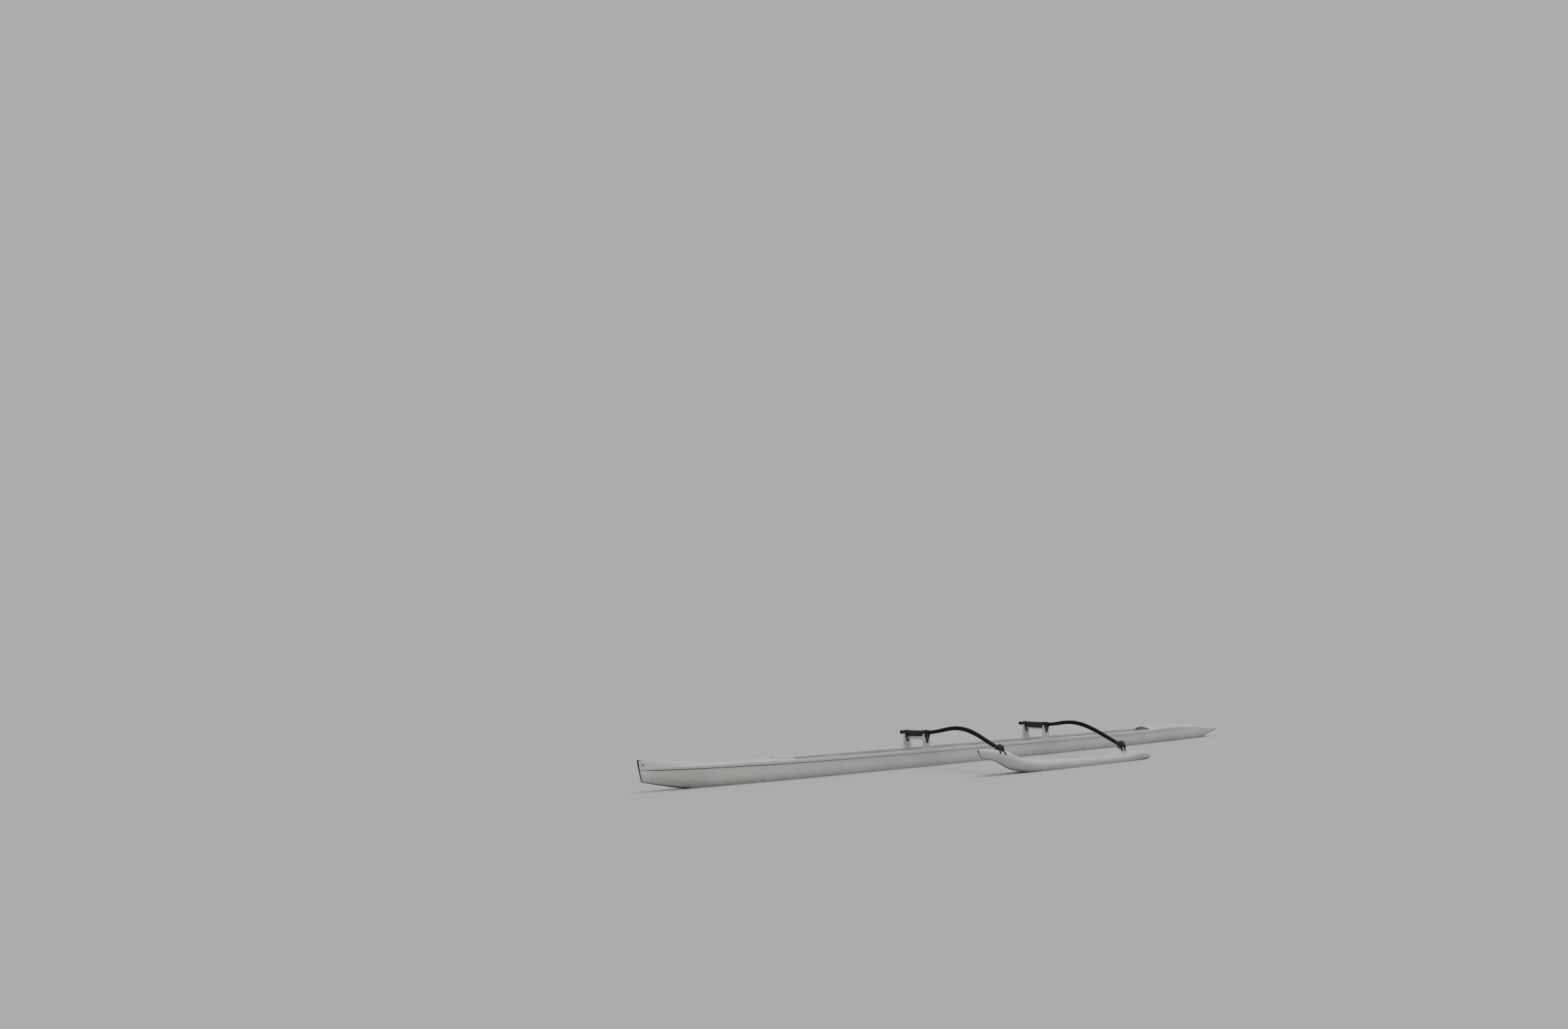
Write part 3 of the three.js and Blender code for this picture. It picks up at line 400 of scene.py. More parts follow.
def joined(parts):
    """One list of vertices and one of faces from several."""
    vertices, faces = [], []
    for part_vertices, part_faces in parts:
        first = len(vertices)
        vertices.extend(part_vertices)
        faces.extend(tuple(first + i for i in face) for face in part_faces)
    return vertices, faces


def face_outward(mesh):
    work = bmesh.new()
    work.from_mesh(mesh)
    bmesh.ops.recalc_face_normals(work, faces=work.faces)
    work.to_mesh(mesh)
    work.free()


def piece(name, shape, finish, replaces=(), sharp=SHARP, grain=None):
    """An object of the boat from vertices and faces, with smooth shading up to an angle."""
    material, slot = finish
    vertices, faces = shape
    mesh = bpy.data.meshes.new(name)
    mesh.from_pydata([tuple(v) for v in vertices], [], faces)
    if grain:
        along = mesh.attributes.new("grain", "FLOAT_VECTOR", "POINT")
        along.data.foreach_set("vector", [value for point in grain for value in point])
    face_outward(mesh)
    mesh.materials.append(material)
    mesh.shade_smooth()
    mesh.set_sharp_from_angle(angle=math.radians(sharp))
    item = bpy.data.objects.new(name, mesh)
    bpy.context.collection.objects.link(item)
    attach(item, "root")
    if replaces:
        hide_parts(*replaces)
    return item


def cut(item, shape):
    """Takes a closed shape out of a piece."""
    mesh = bpy.data.meshes.new("cutter")
    mesh.from_pydata([tuple(v) for v in shape[0]], [], shape[1])
    tool = bpy.data.objects.new("cutter", mesh)
    bpy.context.collection.objects.link(tool)
    face_outward(mesh)
    modifier = item.modifiers.new("cut", "BOOLEAN")
    modifier.operation = "DIFFERENCE"
    modifier.solver = "EXACT"
    modifier.object = tool
    bpy.context.view_layer.update()
    graph = bpy.context.evaluated_depsgraph_get()
    result = bpy.data.meshes.new_from_object(item.evaluated_get(graph))
    item.modifiers.clear()
    item.data = result
    bpy.data.objects.remove(tool)
    bpy.data.meshes.remove(mesh)
    result.set_sharp_from_angle(angle=math.radians(SHARP))


def rim(wide, tall, corner, share):
    """Point and outward direction at a share of the way round a rounded rectangle."""
    flat = wide - corner
    upright = tall - corner
    arc = corner * math.pi / 2
    parts = (upright, arc, 2 * flat, arc, 2 * upright, arc, 2 * flat, arc, upright)
    rest = (share % 1.0) * sum(parts)
    index = 0
    while index < 8 and rest > parts[index]:
        rest -= parts[index]
        index += 1
    if index in (0, 4, 8):
        hand = -1 if index == 4 else 1
        v = {0: rest, 4: upright - rest, 8: rest - upright}[index]
        return hand * wide, v, hand, 0.0
    if index in (2, 6):
        hand = 1 if index == 2 else -1
        return hand * (flat - rest), hand * tall, 0.0, hand
    turn = rest / corner + (index - 1) * math.pi / 4
    centre = {1: (1, 1), 3: (-1, 1), 5: (-1, -1), 7: (1, -1)}[index]
    u, v = math.cos(turn), math.sin(turn)
    return centre[0] * flat + corner * u, centre[1] * upright + corner * v, u, v


def rim_points(wide, tall, corner, count):
    return [rim(wide, tall, corner, k / count)[:2] for k in range(count)]


def strip(points, normals, width, height):
    """A rounded strip along points, each with the direction away from what it lies on."""
    last = len(points) - 1
    rings = []
    for i, point in enumerate(points):
        tangent = (points[min(i + 1, last)] - points[max(i - 1, 0)]).normalized()
        side = tangent.cross(normals[i]).normalized()
        up = side.cross(tangent)
        near_end = min(i, last - i)
        scale = STRIP_END[near_end] if near_end < len(STRIP_END) else 1.0
        wide = width / 2 * scale * (1 + 0.10 * wobble(*(point * 31)))
        tall = height / 2 * scale * (1 + 0.15 * wobble(*(point * 47 + Vector((5, 0, 0)))))
        ring = []
        for turn in full_turn(STRIP_SIDES):
            u = math.copysign(abs(math.cos(turn)) ** 0.75, math.cos(turn)) * wide
            v = math.sin(turn) * tall + height / 2
            ring.append(point + side * u + up * v)
        rings.append(ring)
    return loft(rings)


def smooth_path(points, count):
    """A curve through points, with count steps from each to the next."""
    ends = [2 * points[0] - points[1], *points, 2 * points[-1] - points[-2]]
    path = []
    for a, b, c, d in zip(ends, ends[1:], ends[2:], ends[3:]):
        for i in range(count):
            t = i / count
            path.append(0.5 * (2 * b + (c - a) * t + (2 * a - 5 * b + 4 * c - d) * t ** 2
                               + (3 * b - a - 3 * c + d) * t ** 3))
    return [*path, points[-1]]


def laid(controls, count, width, height):
    """A strip along a smooth path through points, each given with its outward direction."""
    points = smooth_path([point for point, _ in controls], count)
    normals = smooth_path([normal.normalized() for _, normal in controls], count)
    return strip(points, [normal.normalized() for normal in normals], width, height)


# Materials

class Recipe:
    """A material and the words that its pattern is written in."""

    def __init__(self, name, slot, attribute=None):
        self.slot = slot
        self.attribute = attribute  # a mesh's own coordinate, in the place of the boat's frame
        self.material = bpy.data.materials.new(name)
        self.material.use_nodes = True
        self.tree = self.material.node_tree
        self.bsdf = self.tree.nodes["Principled BSDF"]

    def node(self, kind, inputs, **settings):
        item = self.tree.nodes.new("ShaderNode" + kind)
        for key, value in settings.items():
            setattr(item, key, value)
        for key, value in inputs.items():
            if isinstance(value, bpy.types.NodeSocket):
                self.tree.links.new(value, item.inputs[key])
            else:
                item.inputs[key].default_value = value
        return item.outputs

    def place(self, stretch=(1, 1, 1)):
        if self.attribute:
            source = self.node("Attribute", {}, attribute_name=self.attribute)["Vector"]
        else:
            source = self.node("TexCoord", {})["Object"]
        return self.node("Mapping", {"Vector": source, "Scale": stretch})["Vector"]

    def axis(self, letter, stretch=(1, 1, 1)):
        return self.node("SeparateXYZ", {0: self.place(stretch)})[letter]

    def noise(self, scale, detail, roughness, stretch=(1, 1, 1), distortion=0.0):
        inputs = {"Vector": self.place(stretch), "Scale": scale, "Detail": detail,
                  "Roughness": roughness, "Distortion": distortion}
        return self.node("TexNoise", inputs)["Fac"]

    def spread(self, value, low, high, to_low=0.0, to_high=1.0):
        inputs = {"Value": value, "From Min": low, "From Max": high, "To Min": to_low,
                  "To Max": to_high}
        return self.node("MapRange", inputs)["Result"]

    def math(self, operation, *values):
        return self.node("Math", dict(enumerate(values)), operation=operation)[0]

    def blend(self, factor, a, b):
        """From one colour to another. A colour is given as red, green and blue, or is a socket."""
        ends = [(*end, 1) if isinstance(end, tuple) else end for end in (a, b)]
        return self.node("Mix", {0: factor, 6: ends[0], 7: ends[1]}, data_type="RGBA")[2]

    def bump(self, height, strength, distance, under=None):
        inputs = {"Height": height, "Strength": strength, "Distance": distance}
        if under:
            inputs["Normal"] = under
        return self.node("Bump", inputs)["Normal"]

    def finish(self, colour, constants=None, **sockets):
        """The material and its slot, with its patterns and constants on the surface shader."""
        self.tree.links.new(colour, self.bsdf.inputs["Base Color"])
        for name, value in sockets.items():
            self.tree.links.new(value, self.bsdf.inputs[name.capitalize()])
        for name, value in (constants or {}).items():
            self.bsdf.inputs[name].default_value = value
        return self.material, self.slot


def gelcoat(name, slot, light, shade, waterline):
    """Polished gelcoat: cloudy, streaked downwards, scuffed, and darker at the waterline, partly a stain
    and partly painted shade.
    """
    mix = Recipe(name, slot)
    cloud = mix.noise(1.6, 5.0, 0.6, (0.9, 0.9, 1.6))
    streak = mix.noise(2.2, 4.0, 0.5, (5.0, 5.0, 0.8))
    colour = mix.blend(mix.spread(cloud, 0.35, 0.72), light, shade)
    colour = mix.blend(mix.spread(streak, 0.52, 0.78, 0.0, 0.5), colour, shade)
    if waterline:
        # Darker olive towards the waterline and up the bow: a stain, and painted shade where the hull
        # turns down towards the water.
        climb = mix.spread(mix.axis("X"), *STAIN_AND_SHADE_CLIMBS, 0.0, STAIN_AND_SHADE_CLIMB)
        low = mix.spread(mix.math("SUBTRACT", mix.axis("Z"), climb), *STAIN_AND_SHADE_HEIGHTS)
        ragged = mix.noise(9.0, 5.0, 0.6, (1.0, 1.0, 3.0))
        stain_and_shade = mix.math("MULTIPLY", low, mix.spread(ragged, 0.3, 0.7, 0.45, 1.0))
        colour = mix.blend(stain_and_shade, colour, (0.30, 0.28, 0.21))
    scuff = mix.noise(5.0, 6.0, 0.7, (1.2, 26.0, 30.0))
    colour = mix.blend(mix.spread(scuff, 0.66, 0.80, 0.0, 0.35), colour, (0.48, 0.48, 0.46))
    rough = mix.spread(mix.noise(38.0, 3.0, 0.5), 0.3, 0.7, 0.24, 0.40)
    normal = mix.bump(mix.noise(160.0, 2.0, 0.5), 0.12, 0.0004)
    normal = mix.bump(scuff, 0.10, 0.0006, normal)
    normal = mix.bump(mix.noise(3.0, 2.0, 0.4), 0.08, 0.006, normal)
    polish = {"Coat Weight": 0.25, "Coat Roughness": 0.12, "IOR": 1.5}
    return mix.finish(colour, polish, roughness=rough, normal=normal)


def laminate():
    """Painted inside of the hull: woven glass under thin paint, dirtier towards the keel."""
    mix = Recipe("inside_laminate", "interior")
    threads = {"Vector": mix.place(), "Scale": 60.0, "Distortion": 1.5, "Detail": 2.0}
    warp, weft = (mix.node("TexWave", threads, bands_direction=way)["Fac"] for way in ("X", "DIAGONAL"))
    cloud = mix.noise(3.2, 5.0, 0.6)
    colour = mix.blend(mix.spread(cloud, 0.35, 0.75), (0.60, 0.61, 0.60), (0.46, 0.47, 0.46))
    low = mix.spread(mix.axis("Z"), 0.10, -0.26, 0.0, 0.6)
    dirt = mix.math("MULTIPLY", low, mix.spread(cloud, 0.3, 0.6, 0.4, 1.0))
    colour = mix.blend(dirt, colour, (0.25, 0.24, 0.21))
    rough = mix.spread(cloud, 0.3, 0.7, 0.5, 0.68)
    normal = mix.bump(mix.math("MULTIPLY", warp, weft), 0.35, 0.0008)
    return mix.finish(colour, roughness=rough, normal=normal)


def timber():
    """Dark timber, laminated from thin strips, with grain that runs along the beam."""
    mix = Recipe("dark_timber", "wood", "grain")
    fibre = mix.noise(1.6, 6.0, 0.62, (3.0, 70.0, 70.0), 0.6)
    pores = mix.noise(1.0, 3.0, 0.6, (14.0, 420.0, 420.0))
    cloud = mix.noise(1.3, 3.0, 0.5, (2.0, 5.0, 5.0))
    colour = mix.blend(mix.spread(fibre, 0.32, 0.70), (0.016, 0.011, 0.009), (0.043, 0.029, 0.023))
    colour = mix.blend(mix.spread(cloud, 0.35, 0.7, 0.0, 0.55), colour, (0.023, 0.017, 0.014))
    phase = mix.math("FRACT", mix.axis("Z", (1.0, 1.0, STRIPS_A_METRE)))
    glue_line = mix.math("COMPARE", phase, 0.5, 0.07)
    colour = mix.blend(mix.math("MULTIPLY", glue_line, 0.55), colour, (0.006, 0.004, 0.004))
    rough = mix.spread(pores, 0.3, 0.7, 0.30, 0.50)
    normal = mix.bump(pores, 0.25, 0.0004, mix.bump(fibre, 0.20, 0.0008))
    return mix.finish(colour, {"Specular IOR Level": 0.05}, roughness=rough, normal=normal)


def rubber(name, slot, dark, dusty, gloss):
    """Black rubber with dust in patches and a fine rough surface."""
    mix = Recipe(name, slot)
    dust = mix.noise(26.0, 5.0, 0.6)
    rub = mix.noise(60.0, 4.0, 0.65, (1.0, 4.0, 1.0))
    colour = mix.blend(mix.spread(dust, 0.45, 0.75), dark, dusty)
    colour = mix.blend(mix.spread(rub, 0.62, 0.78, 0.0, 0.6), colour, dusty)
    rough = mix.spread(dust, 0.3, 0.75, gloss, gloss + 0.26)
    normal = mix.bump(mix.noise(300.0, 3.0, 0.6), 0.30, 0.0004)
    normal = mix.bump(rub, 0.20, 0.0008, normal)
    return mix.finish(colour, roughness=rough, normal=normal)


def plain_floor():
    mix = Recipe("plain_floor", None)
    shade = mix.noise(0.35, 2.0, 0.4)
    colour = mix.blend(shade, (0.455, 0.465, 0.475), (0.465, 0.475, 0.485))
    return mix.finish(colour, {"Roughness": 1.0, "Specular IOR Level": 0.0})[0]


# Hull and float are one white; the hull's copy is painted lighter, as painted light on the hull's sides.
HULL_WHITE = gelcoat("hull_gelcoat", "gelcoat", (0.71, 0.68, 0.635), (0.60, 0.572, 0.525), True)
FLOAT_WHITE = gelcoat("float_gelcoat", "gelcoat", (0.66, 0.635, 0.59), (0.55, 0.525, 0.48), True)
DECK_WHITE = gelcoat("deck_gelcoat", "deck", (0.60, 0.615, 0.585), (0.52, 0.535, 0.51), False)
INSIDE = laminate()
TIMBER = timber()
LASHING = rubber("lashing_rubber", "lashing", (0.010, 0.011, 0.014), (0.045, 0.047, 0.055), 0.42)
TRIM = rubber("black_trim", "black_trim", (0.014, 0.014, 0.015), (0.060, 0.060, 0.058), 0.36)


# Hull

def place(x, y, z):
    """The stations lean forward towards the bow, as the stem does."""
    return Vector((x + STEM_LEAN * smoothstep(x, LEAN_START, STEM_X) * (z - KNEE_Z), y, z))


def station_of(x, z):
    """The station whose plane passes through a point of the centre plane."""
    station = x
    for _ in range(30):
        station = x - STEM_LEAN * smoothstep(station, LEAN_START, STEM_X) * (z - KNEE_Z)
    return station


def hull_half(x, z, inset=0.0):
    """Half width of the hull at a station and height."""
    beam = half_beam(x) - inset
    flat = min(KEEL_FLAT, beam * 0.6)
    bottom = keel(x) + inset
    drop = min(max((sheer(x) - z) / (sheer(x) - bottom), 0.0), 1.0)
    n = fullness(x)
    return flat + (beam - flat) * max(1 - drop ** n, 0.0) ** (1 / n)


def hull_side(x, inset, count):
    """Points (y, z) from the keel's centre up to the sheer on one side."""
    beam = half_beam(x) - inset
    flat = min(KEEL_FLAT, beam * 0.6)
    bottom = keel(x) + inset
    power = 2 / fullness(x)
    side = [(0.0, bottom)]
    for turn in steps(0, math.pi / 2, count):
        y = flat + (beam - flat) * math.sin(turn) ** power
        z = sheer(x) - (sheer(x) - bottom) * max(math.cos(turn), 0.0) ** power
        side.append((y, z))
    return side


def hull_stations(start, end):
    """Evenly spaced stations from start to end, both taken."""
    return steps(start, end, max(4, round((end - start) / STATION_STEP)))


def hull_skin():
    count = 30
    rings = []
    for x in hull_stations(STERN_X, STEM_X - 0.001):
        outer = hull_side(x, 0, count)
        if CAVITY[0] < x < CAVITY[1]:
            inner = hull_side(x, WALL, count)
        else:
            inner = [(y * 0.9, sheer(x)) for y, _ in outer]
        port = [place(x, y, z) for y, z in reversed(outer)]
        starboard = [place(x, -y, z) for y, z in outer[1:]]
        inside = [place(x, -y, z) for y, z in reversed(inner)]
        inside += [place(x, y, z) for y, z in inner[1:]]
        rings.append(port + starboard + inside)
    shape = loft(rings)
    item = piece("hull_skin", shape, HULL_WHITE,
                 ("hull_bow", "hull_fore", "hull_mid", "hull_aft", "hull_stern"))
    item.data.materials.append(INSIDE[0])
    per_ring = len(rings[0])
    outside = 2 * (count + 2) - 1
    for polygon in item.data.polygons:
        corners = sorted(i % per_ring for i in polygon.vertices)
        if len(corners) == 4 and corners[0] >= outside - 1 and corners[-1] > outside:
            polygon.material_index = 1
    return item


def rail_inner(x):
    return max(half_beam(x) - RAIL_DEPTH, half_beam(x) * 0.3)


def rail_outer(x):
    return half_beam(x) + rail_lip(x)


def rail_top(x):
    return sheer(x) + rail_height(x)


def edge_round(x):
    """Radius of the outer upper edge of a rail, which fades out towards the stem."""
    outer = rail_outer(x)
    full = min(DECK_ROUND, outer * 0.4, rail_height(x) * 0.7)
    return full * (1 - 0.8 * smoothstep(x, 5.9, 6.5))


def deck_shoulder(x):
    return rail_outer(x) - edge_round(x)


def deck_z(x, y):
    """Height of a deck's surface."""
    share = min(abs(y) / deck_shoulder(x), 1.0)
    edge = rail_top(x)
    return edge + (ridge(x) - edge) * (1 - share ** CROWN)


def gunwale_ring(x, hand):
    outer = rail_outer(x)
    inner = rail_inner(x)
    low = sheer(x) + SKIN_GAP
    high = rail_top(x)
    tall = high - low
    wide = outer - inner
    big = min(edge_round(x), tall * 0.6, wide * 0.45)
    small = min(0.005, tall * 0.3, wide * 0.2)
    tuck = min(0.0025, tall * 0.2)

    def arc(y, z, radius, start):
        return [(y + radius * math.cos(a), z + radius * math.sin(a))
                for a in steps(start, start + math.pi / 2, 6)]

    profile = [(inner, low)]
    profile += arc(outer - tuck, low + tuck, tuck, -math.pi / 2)
    profile += arc(outer - big, high - big, big, 0)
    profile += arc(inner + small, high - small, small, math.pi / 2)
    return [place(x, hand * y, z) for y, z in profile]


def gunwale(side, hand):
    rings = [gunwale_ring(x, hand) for x in hull_stations(*RAILS)]
    nodes = [f"gunwale_{side}_{length}" for length in ("fore", "mid", "aft")]
    return piece(f"gunwale_rail_{side}", loft(rings), DECK_WHITE, nodes)


def deck_ring(x, roll):
    """Section of a deck's shell: the crowned top over the rails, then its underside."""
    shoulder = deck_shoulder(x)
    inner = rail_inner(x) - SKIN_GAP
    edge = rail_top(x)
    thick = DECK_SKIN + BOW_CORE * smoothstep(x, *BOW_CORE_STARTS)
    spans = [math.sin(a) for a in steps(-math.pi / 2, math.pi / 2, 40)]

    def over(y):
        if abs(y) > shoulder * 0.9999:
            return edge - SKIN_GAP
        z = deck_z(x, y) + DECK_LIFT * min(1.0, 12 * (1 - abs(y) / shoulder)) - roll
        return z if abs(y) < inner else max(z, edge + 0.0001)

    def under(y):
        return max(deck_z(x, y) - thick + roll, sheer(x) + MM)

    on_rail = edge - MM
    ring = [(s * shoulder, over(s * shoulder)) for s in spans] + [(inner + MM, on_rail)]
    ring += [(s * inner, under(s * inner)) for s in reversed(spans)] + [(-inner - MM, on_rail)]
    return [place(x, y, z) for y, z in ring]


def deck(name, start, end, node_name, open_at):
    """A deck's shell with a rolled edge at its open end."""
    deep, drop = ROLLED_EDGE
    toward = 1 if open_at == start else -1
    edge = [open_at + toward * deep * share for share in (0.1, 0.3, 0.6, 1.0)]
    rings = []
    for x in sorted({*hull_stations(start, end), *edge}):
        share = min(abs(x - open_at) / deep, 1.0)
        rings.append(deck_ring(x, drop * (1 - math.sqrt(1 - (1 - share) ** 2))))
    return piece(name, loft(rings), DECK_WHITE, (node_name,))


def tow_hole(shell):
    """The hole through the bow for a tow line, in a black sleeve that laps its edges."""
    x, z, radius = TOW_HOLE
    turns = full_turn(48)
    ends = [[Vector((x + radius * math.cos(a), y, z + radius * math.sin(a))) for a in turns]
            for y in (-0.05, 0.05)]
    cut(shell, loft(ends))
    rings = []
    for turn in turns:
        ring = []
        for hand, lip in ((1, SLEEVE_LIP), (-1, SLEEVE_LIP[::-1])):
            for reach, proud in lip:
                at_x, at_z = x + reach * math.cos(turn), z + reach * math.sin(turn)
                ring.append(Vector((at_x, hand * (ship_half(at_x, at_z) + proud), at_z)))
        rings.append(ring)
    return piece("tow_hole_sleeve", loft(rings, looped=True), TRIM)


def seam_and_shadow_stripe(side, hand):
    """Dark line along the hull just under the rail, heavier towards the bow: partly a black seam, partly
    painted shadow under the rail's overhang.
    """
    rings = []
    for x in hull_stations(*STRIPE_REACH):
        tall = 0.004 + 0.001 * smoothstep(x, -4, 0) + 0.005 * smoothstep(x, 1, 4.5)
        tall *= (0.2 + 0.8 * smoothstep(x, -5.3, -4.6)) * (1 - 0.8 * smoothstep(x, 6.5, 6.7))
        rings.append([place(x, hand * (hull_half(x, sheer(x) - d) + out), sheer(x) - d)
                      for d, out in ((0.0, -0.002), (0.0, TRIM_PROUD), (tall * 0.5, TRIM_PROUD * 1.2),
                                     (tall, TRIM_PROUD), (tall + 0.001, -0.002))])
    return piece(f"seam_and_shadow_stripe_{side}", loft(rings), TRIM)


def edge_band(name, line, reach_at, half_at, node_name, offset=0.0):
    """A strip bent round an edge of (x, z) points, over skin whose half width is half_at."""
    rings = []
    for (x, z), (in_x, in_z) in zip(line, outward(line)):
        depths = [reach_at(x, z) * t * t for t in steps(0, 1, 9)]
        widths = [max(half_at(x + in_x * d, z + in_z * d), 0.0001) for d in depths]
        skin = [(0.0, 0.0), (0.0, widths[0] * 0.85), *zip(depths, widths)]
        outer, inner = [], []
        for k, ((d, y), (up, across)) in enumerate(zip(skin, outward(skin))):
            proud = TRIM_PROUD * (0.3 if k == len(skin) - 1 else 1.0)
            outer.append((d + up * proud, y + across * proud if k else 0.0))
            inner.append((d - up * TRIM_SUNK, max(y - across * TRIM_SUNK, 0.0002) if k else 0.0))
        ring = outer[::-1] + [(d, -y) for d, y in outer[1:]]
        ring += [(d, -y) for d, y in inner[::-1]] + inner[1:]
        rings.append([Vector((x + in_x * d, y + offset, z + in_z * d)) for d, y in ring])
    return piece(name, loft(rings), TRIM, (node_name,))


def ship_half(x, z):
    """Half width of the hull or deck at a point of the centre plane."""
    station = min(max(station_of(x, z), STERN_X), STEM_X)
    if z <= sheer(station):
        return hull_half(station, z)
    edge = rail_top(station)
    if z <= edge:
        return rail_outer(station)
    share = min((z - edge) / max(ridge(station) - edge, 1e-4), 1.0)
    return deck_shoulder(station) * (1 - share) ** (1 / CROWN)


def bow_band():
    """Trim along the keel's forward end, up the stem and a little way back along the deck."""
    head = place(STEM_X, 0, ridge(STEM_X))
    points = [place(x, 0, keel(x)) for x in hull_stations(5.5, STEM_X - 0.02)]
    points += [place(STEM_X - 0.006, 0, keel(STEM_X - 0.006)), place(STEM_X, 0, KNEE_Z + 0.0005)]
    points += [place(STEM_X, 0, z) for z in steps(KNEE_Z + 0.006, ridge(STEM_X) - 0.006, 26)]
    points.append(head + Vector((-0.006, 0, 0.0005)))
    for back in steps(0.016, BOW_BAND["hook"], 4):
        station = station_of(head.x - back, head.z)
        points.append(Vector((head.x - back, 0, ridge(station))))
    line = [(point.x, point.z) for point in points]

    def reach(x, z):
        if z < KNEE_Z:
            return BOW_BAND["knee"] + (BOW_BAND["keel"] - BOW_BAND["knee"]) * smoothstep(-x, -6.6, -6.0)
        if z > head.z - 0.005:
            return BOW_BAND["knee"]
        return BOW_BAND["stem"] + (BOW_BAND["head"] - BOW_BAND["stem"]) * smoothstep(z, 0.34, 0.44)

    return edge_band("bow_edge_band", line, reach, ship_half, "bow_band")


def stern_band():
    """Trim along the keel's after end, which narrows as the hull does."""
    line = [(x, keel(x)) for x in hull_stations(STERN_X, -5.7)]

    def reach(x, z):
        return min(STERN_BAND, 0.7 * (sheer(x) - keel(x)))

    return edge_band("stern_edge_band", line, reach, ship_half, "stern_band")


def guard_route():
    """Points of the splash guard's middle in plan, a V with a rounded apex."""
    soft = 0.05
    full = math.hypot(1, soft) - soft
    length = GUARD["apex"] - GUARD["foot"]
    return [Vector((GUARD["apex"] - length * (math.hypot(s, soft) - soft) / full, s * GUARD["reach"], 0))
            for s in steps(-1, 1, 60)]


def on_deck(point, lift):
    return Vector((point.x, point.y, deck_z(point.x, point.y) + DECK_LIFT + lift))


def splash_guard():
    """Low V on the foredeck, its foot on the deck's crown, with a seal along its front."""
    profile = ((-0.5, 0.0), (-0.46, 0.30), (-0.38, 0.68), (-0.26, 0.90), (-0.10, 0.99), (0.06, 1.0),
               (0.22, 0.93), (0.33, 0.76), (0.42, 0.45), (0.62, 0.10), (0.80, 0.0), (0.3, -0.3),
               (-0.3, -0.3))
    path = guard_route()
    last = len(path) - 1
    rings, seal = [], []
    for i, point in enumerate(path):
        ahead = (path[min(i + 1, last)] - path[max(i - 1, 0)]).normalized()
        out = Vector((ahead.y, -ahead.x, 0)) * GUARD["thick"]
        end = min(i, last - i, 4) / 4
        height = GUARD["tall"] * (math.sqrt(1 - (1 - end) ** 2) * 0.75 + 0.25)
        rings.append([on_deck(point + out * across, up * height) for across, up in profile])
        if 2 <= i <= last - 2:
            seal.append(on_deck(point + out * 0.82, -0.0006))
    bead = strip(seal, [Vector((0, 0, 1))] * len(seal), 0.007, 0.004)
    piece("splash_guard_seal", bead, TRIM)
    return piece("splash_guard_moulding", loft(rings), DECK_WHITE, ("splash_guard",))


# Inside the cockpit

def seat(number, x0):
    """A moulded seat with rolled edges, dished, and fitted to the hull's sides."""
    top = sheer(x0) - SEAT_DROP
    roll = SEAT_ROLL
    flat = SEAT_HALF - roll
    corner = corner_turns(7)
    path = [(-SEAT_HALF, v) for v in steps(-SEAT_LIP, -roll, 3)]
    path += [(-flat - roll * v, -roll + roll * u) for u, v in corner][1:]
    path += [(u, -SEAT_DISH * math.cos(math.pi / 2 * u / flat)) for u in steps(-flat, flat, 12)][1:]
    path += [(flat + roll * u, -roll + roll * v) for u, v in corner][1:]
    path += [(SEAT_HALF, v) for v in steps(-roll, -SEAT_LIP, 3)][1:]
    inner = [(u - nu * SEAT_SKIN, v - nv * SEAT_SKIN) for (u, v), (nu, nv) in zip(path, outward(path))]
    profile = path + inner[::-1]
    rings = []
    for s in steps(-1, 1, 36):
        ring = []
        for u, v in profile:
            guess = abs(s) * half_beam(x0)
            z = top + v + seat_lift(guess)
            y = s * (hull_half(x0 + u, z, WALL) - SKIN_GAP)
            dish = SEAT_DISH * (1 - s * s) * (1 if v > -0.02 else 0.4)
            ring.append(Vector((x0 + u, y, z - dish)))
        rings.append(ring)
    return piece(f"seat_shell_{number}", loft(rings), INSIDE, (f"seat_{number}",))


def bulkhead(end):
    """A panel across the hull, up to the deck between the rails, with rounded edges."""
    face = BULKHEAD_FACE[end]
    rings = []
    for x, inset in ((face - BULKHEAD, 0.003), (face - BULKHEAD + 0.003, 0.0), (face - 0.003, 0.0),
                     (face, 0.003)):
        lid = sheer(x) - SKIN_GAP - inset
        side = [(y, min(z, lid)) for y, z in hull_side(x, WALL + SKIN_GAP + inset, 30)]
        throat = rail_inner(x) - 2 * SKIN_GAP - inset
        over = [(throat, lid)]
        over += [(y, deck_z(x, y) - DECK_SKIN - SKIN_GAP - inset) for y in steps(throat, -throat, 16)]
        over.append((-throat, lid))
        outline = side[1:] + over + [(-y, z) for y, z in side[:0:-1]] + side[:1]
        rings.append([Vector((x, y, z)) for y, z in outline])
    return piece(f"{end}_bulkhead_panel", loft(rings), INSIDE, (f"{end}_bulkhead",))


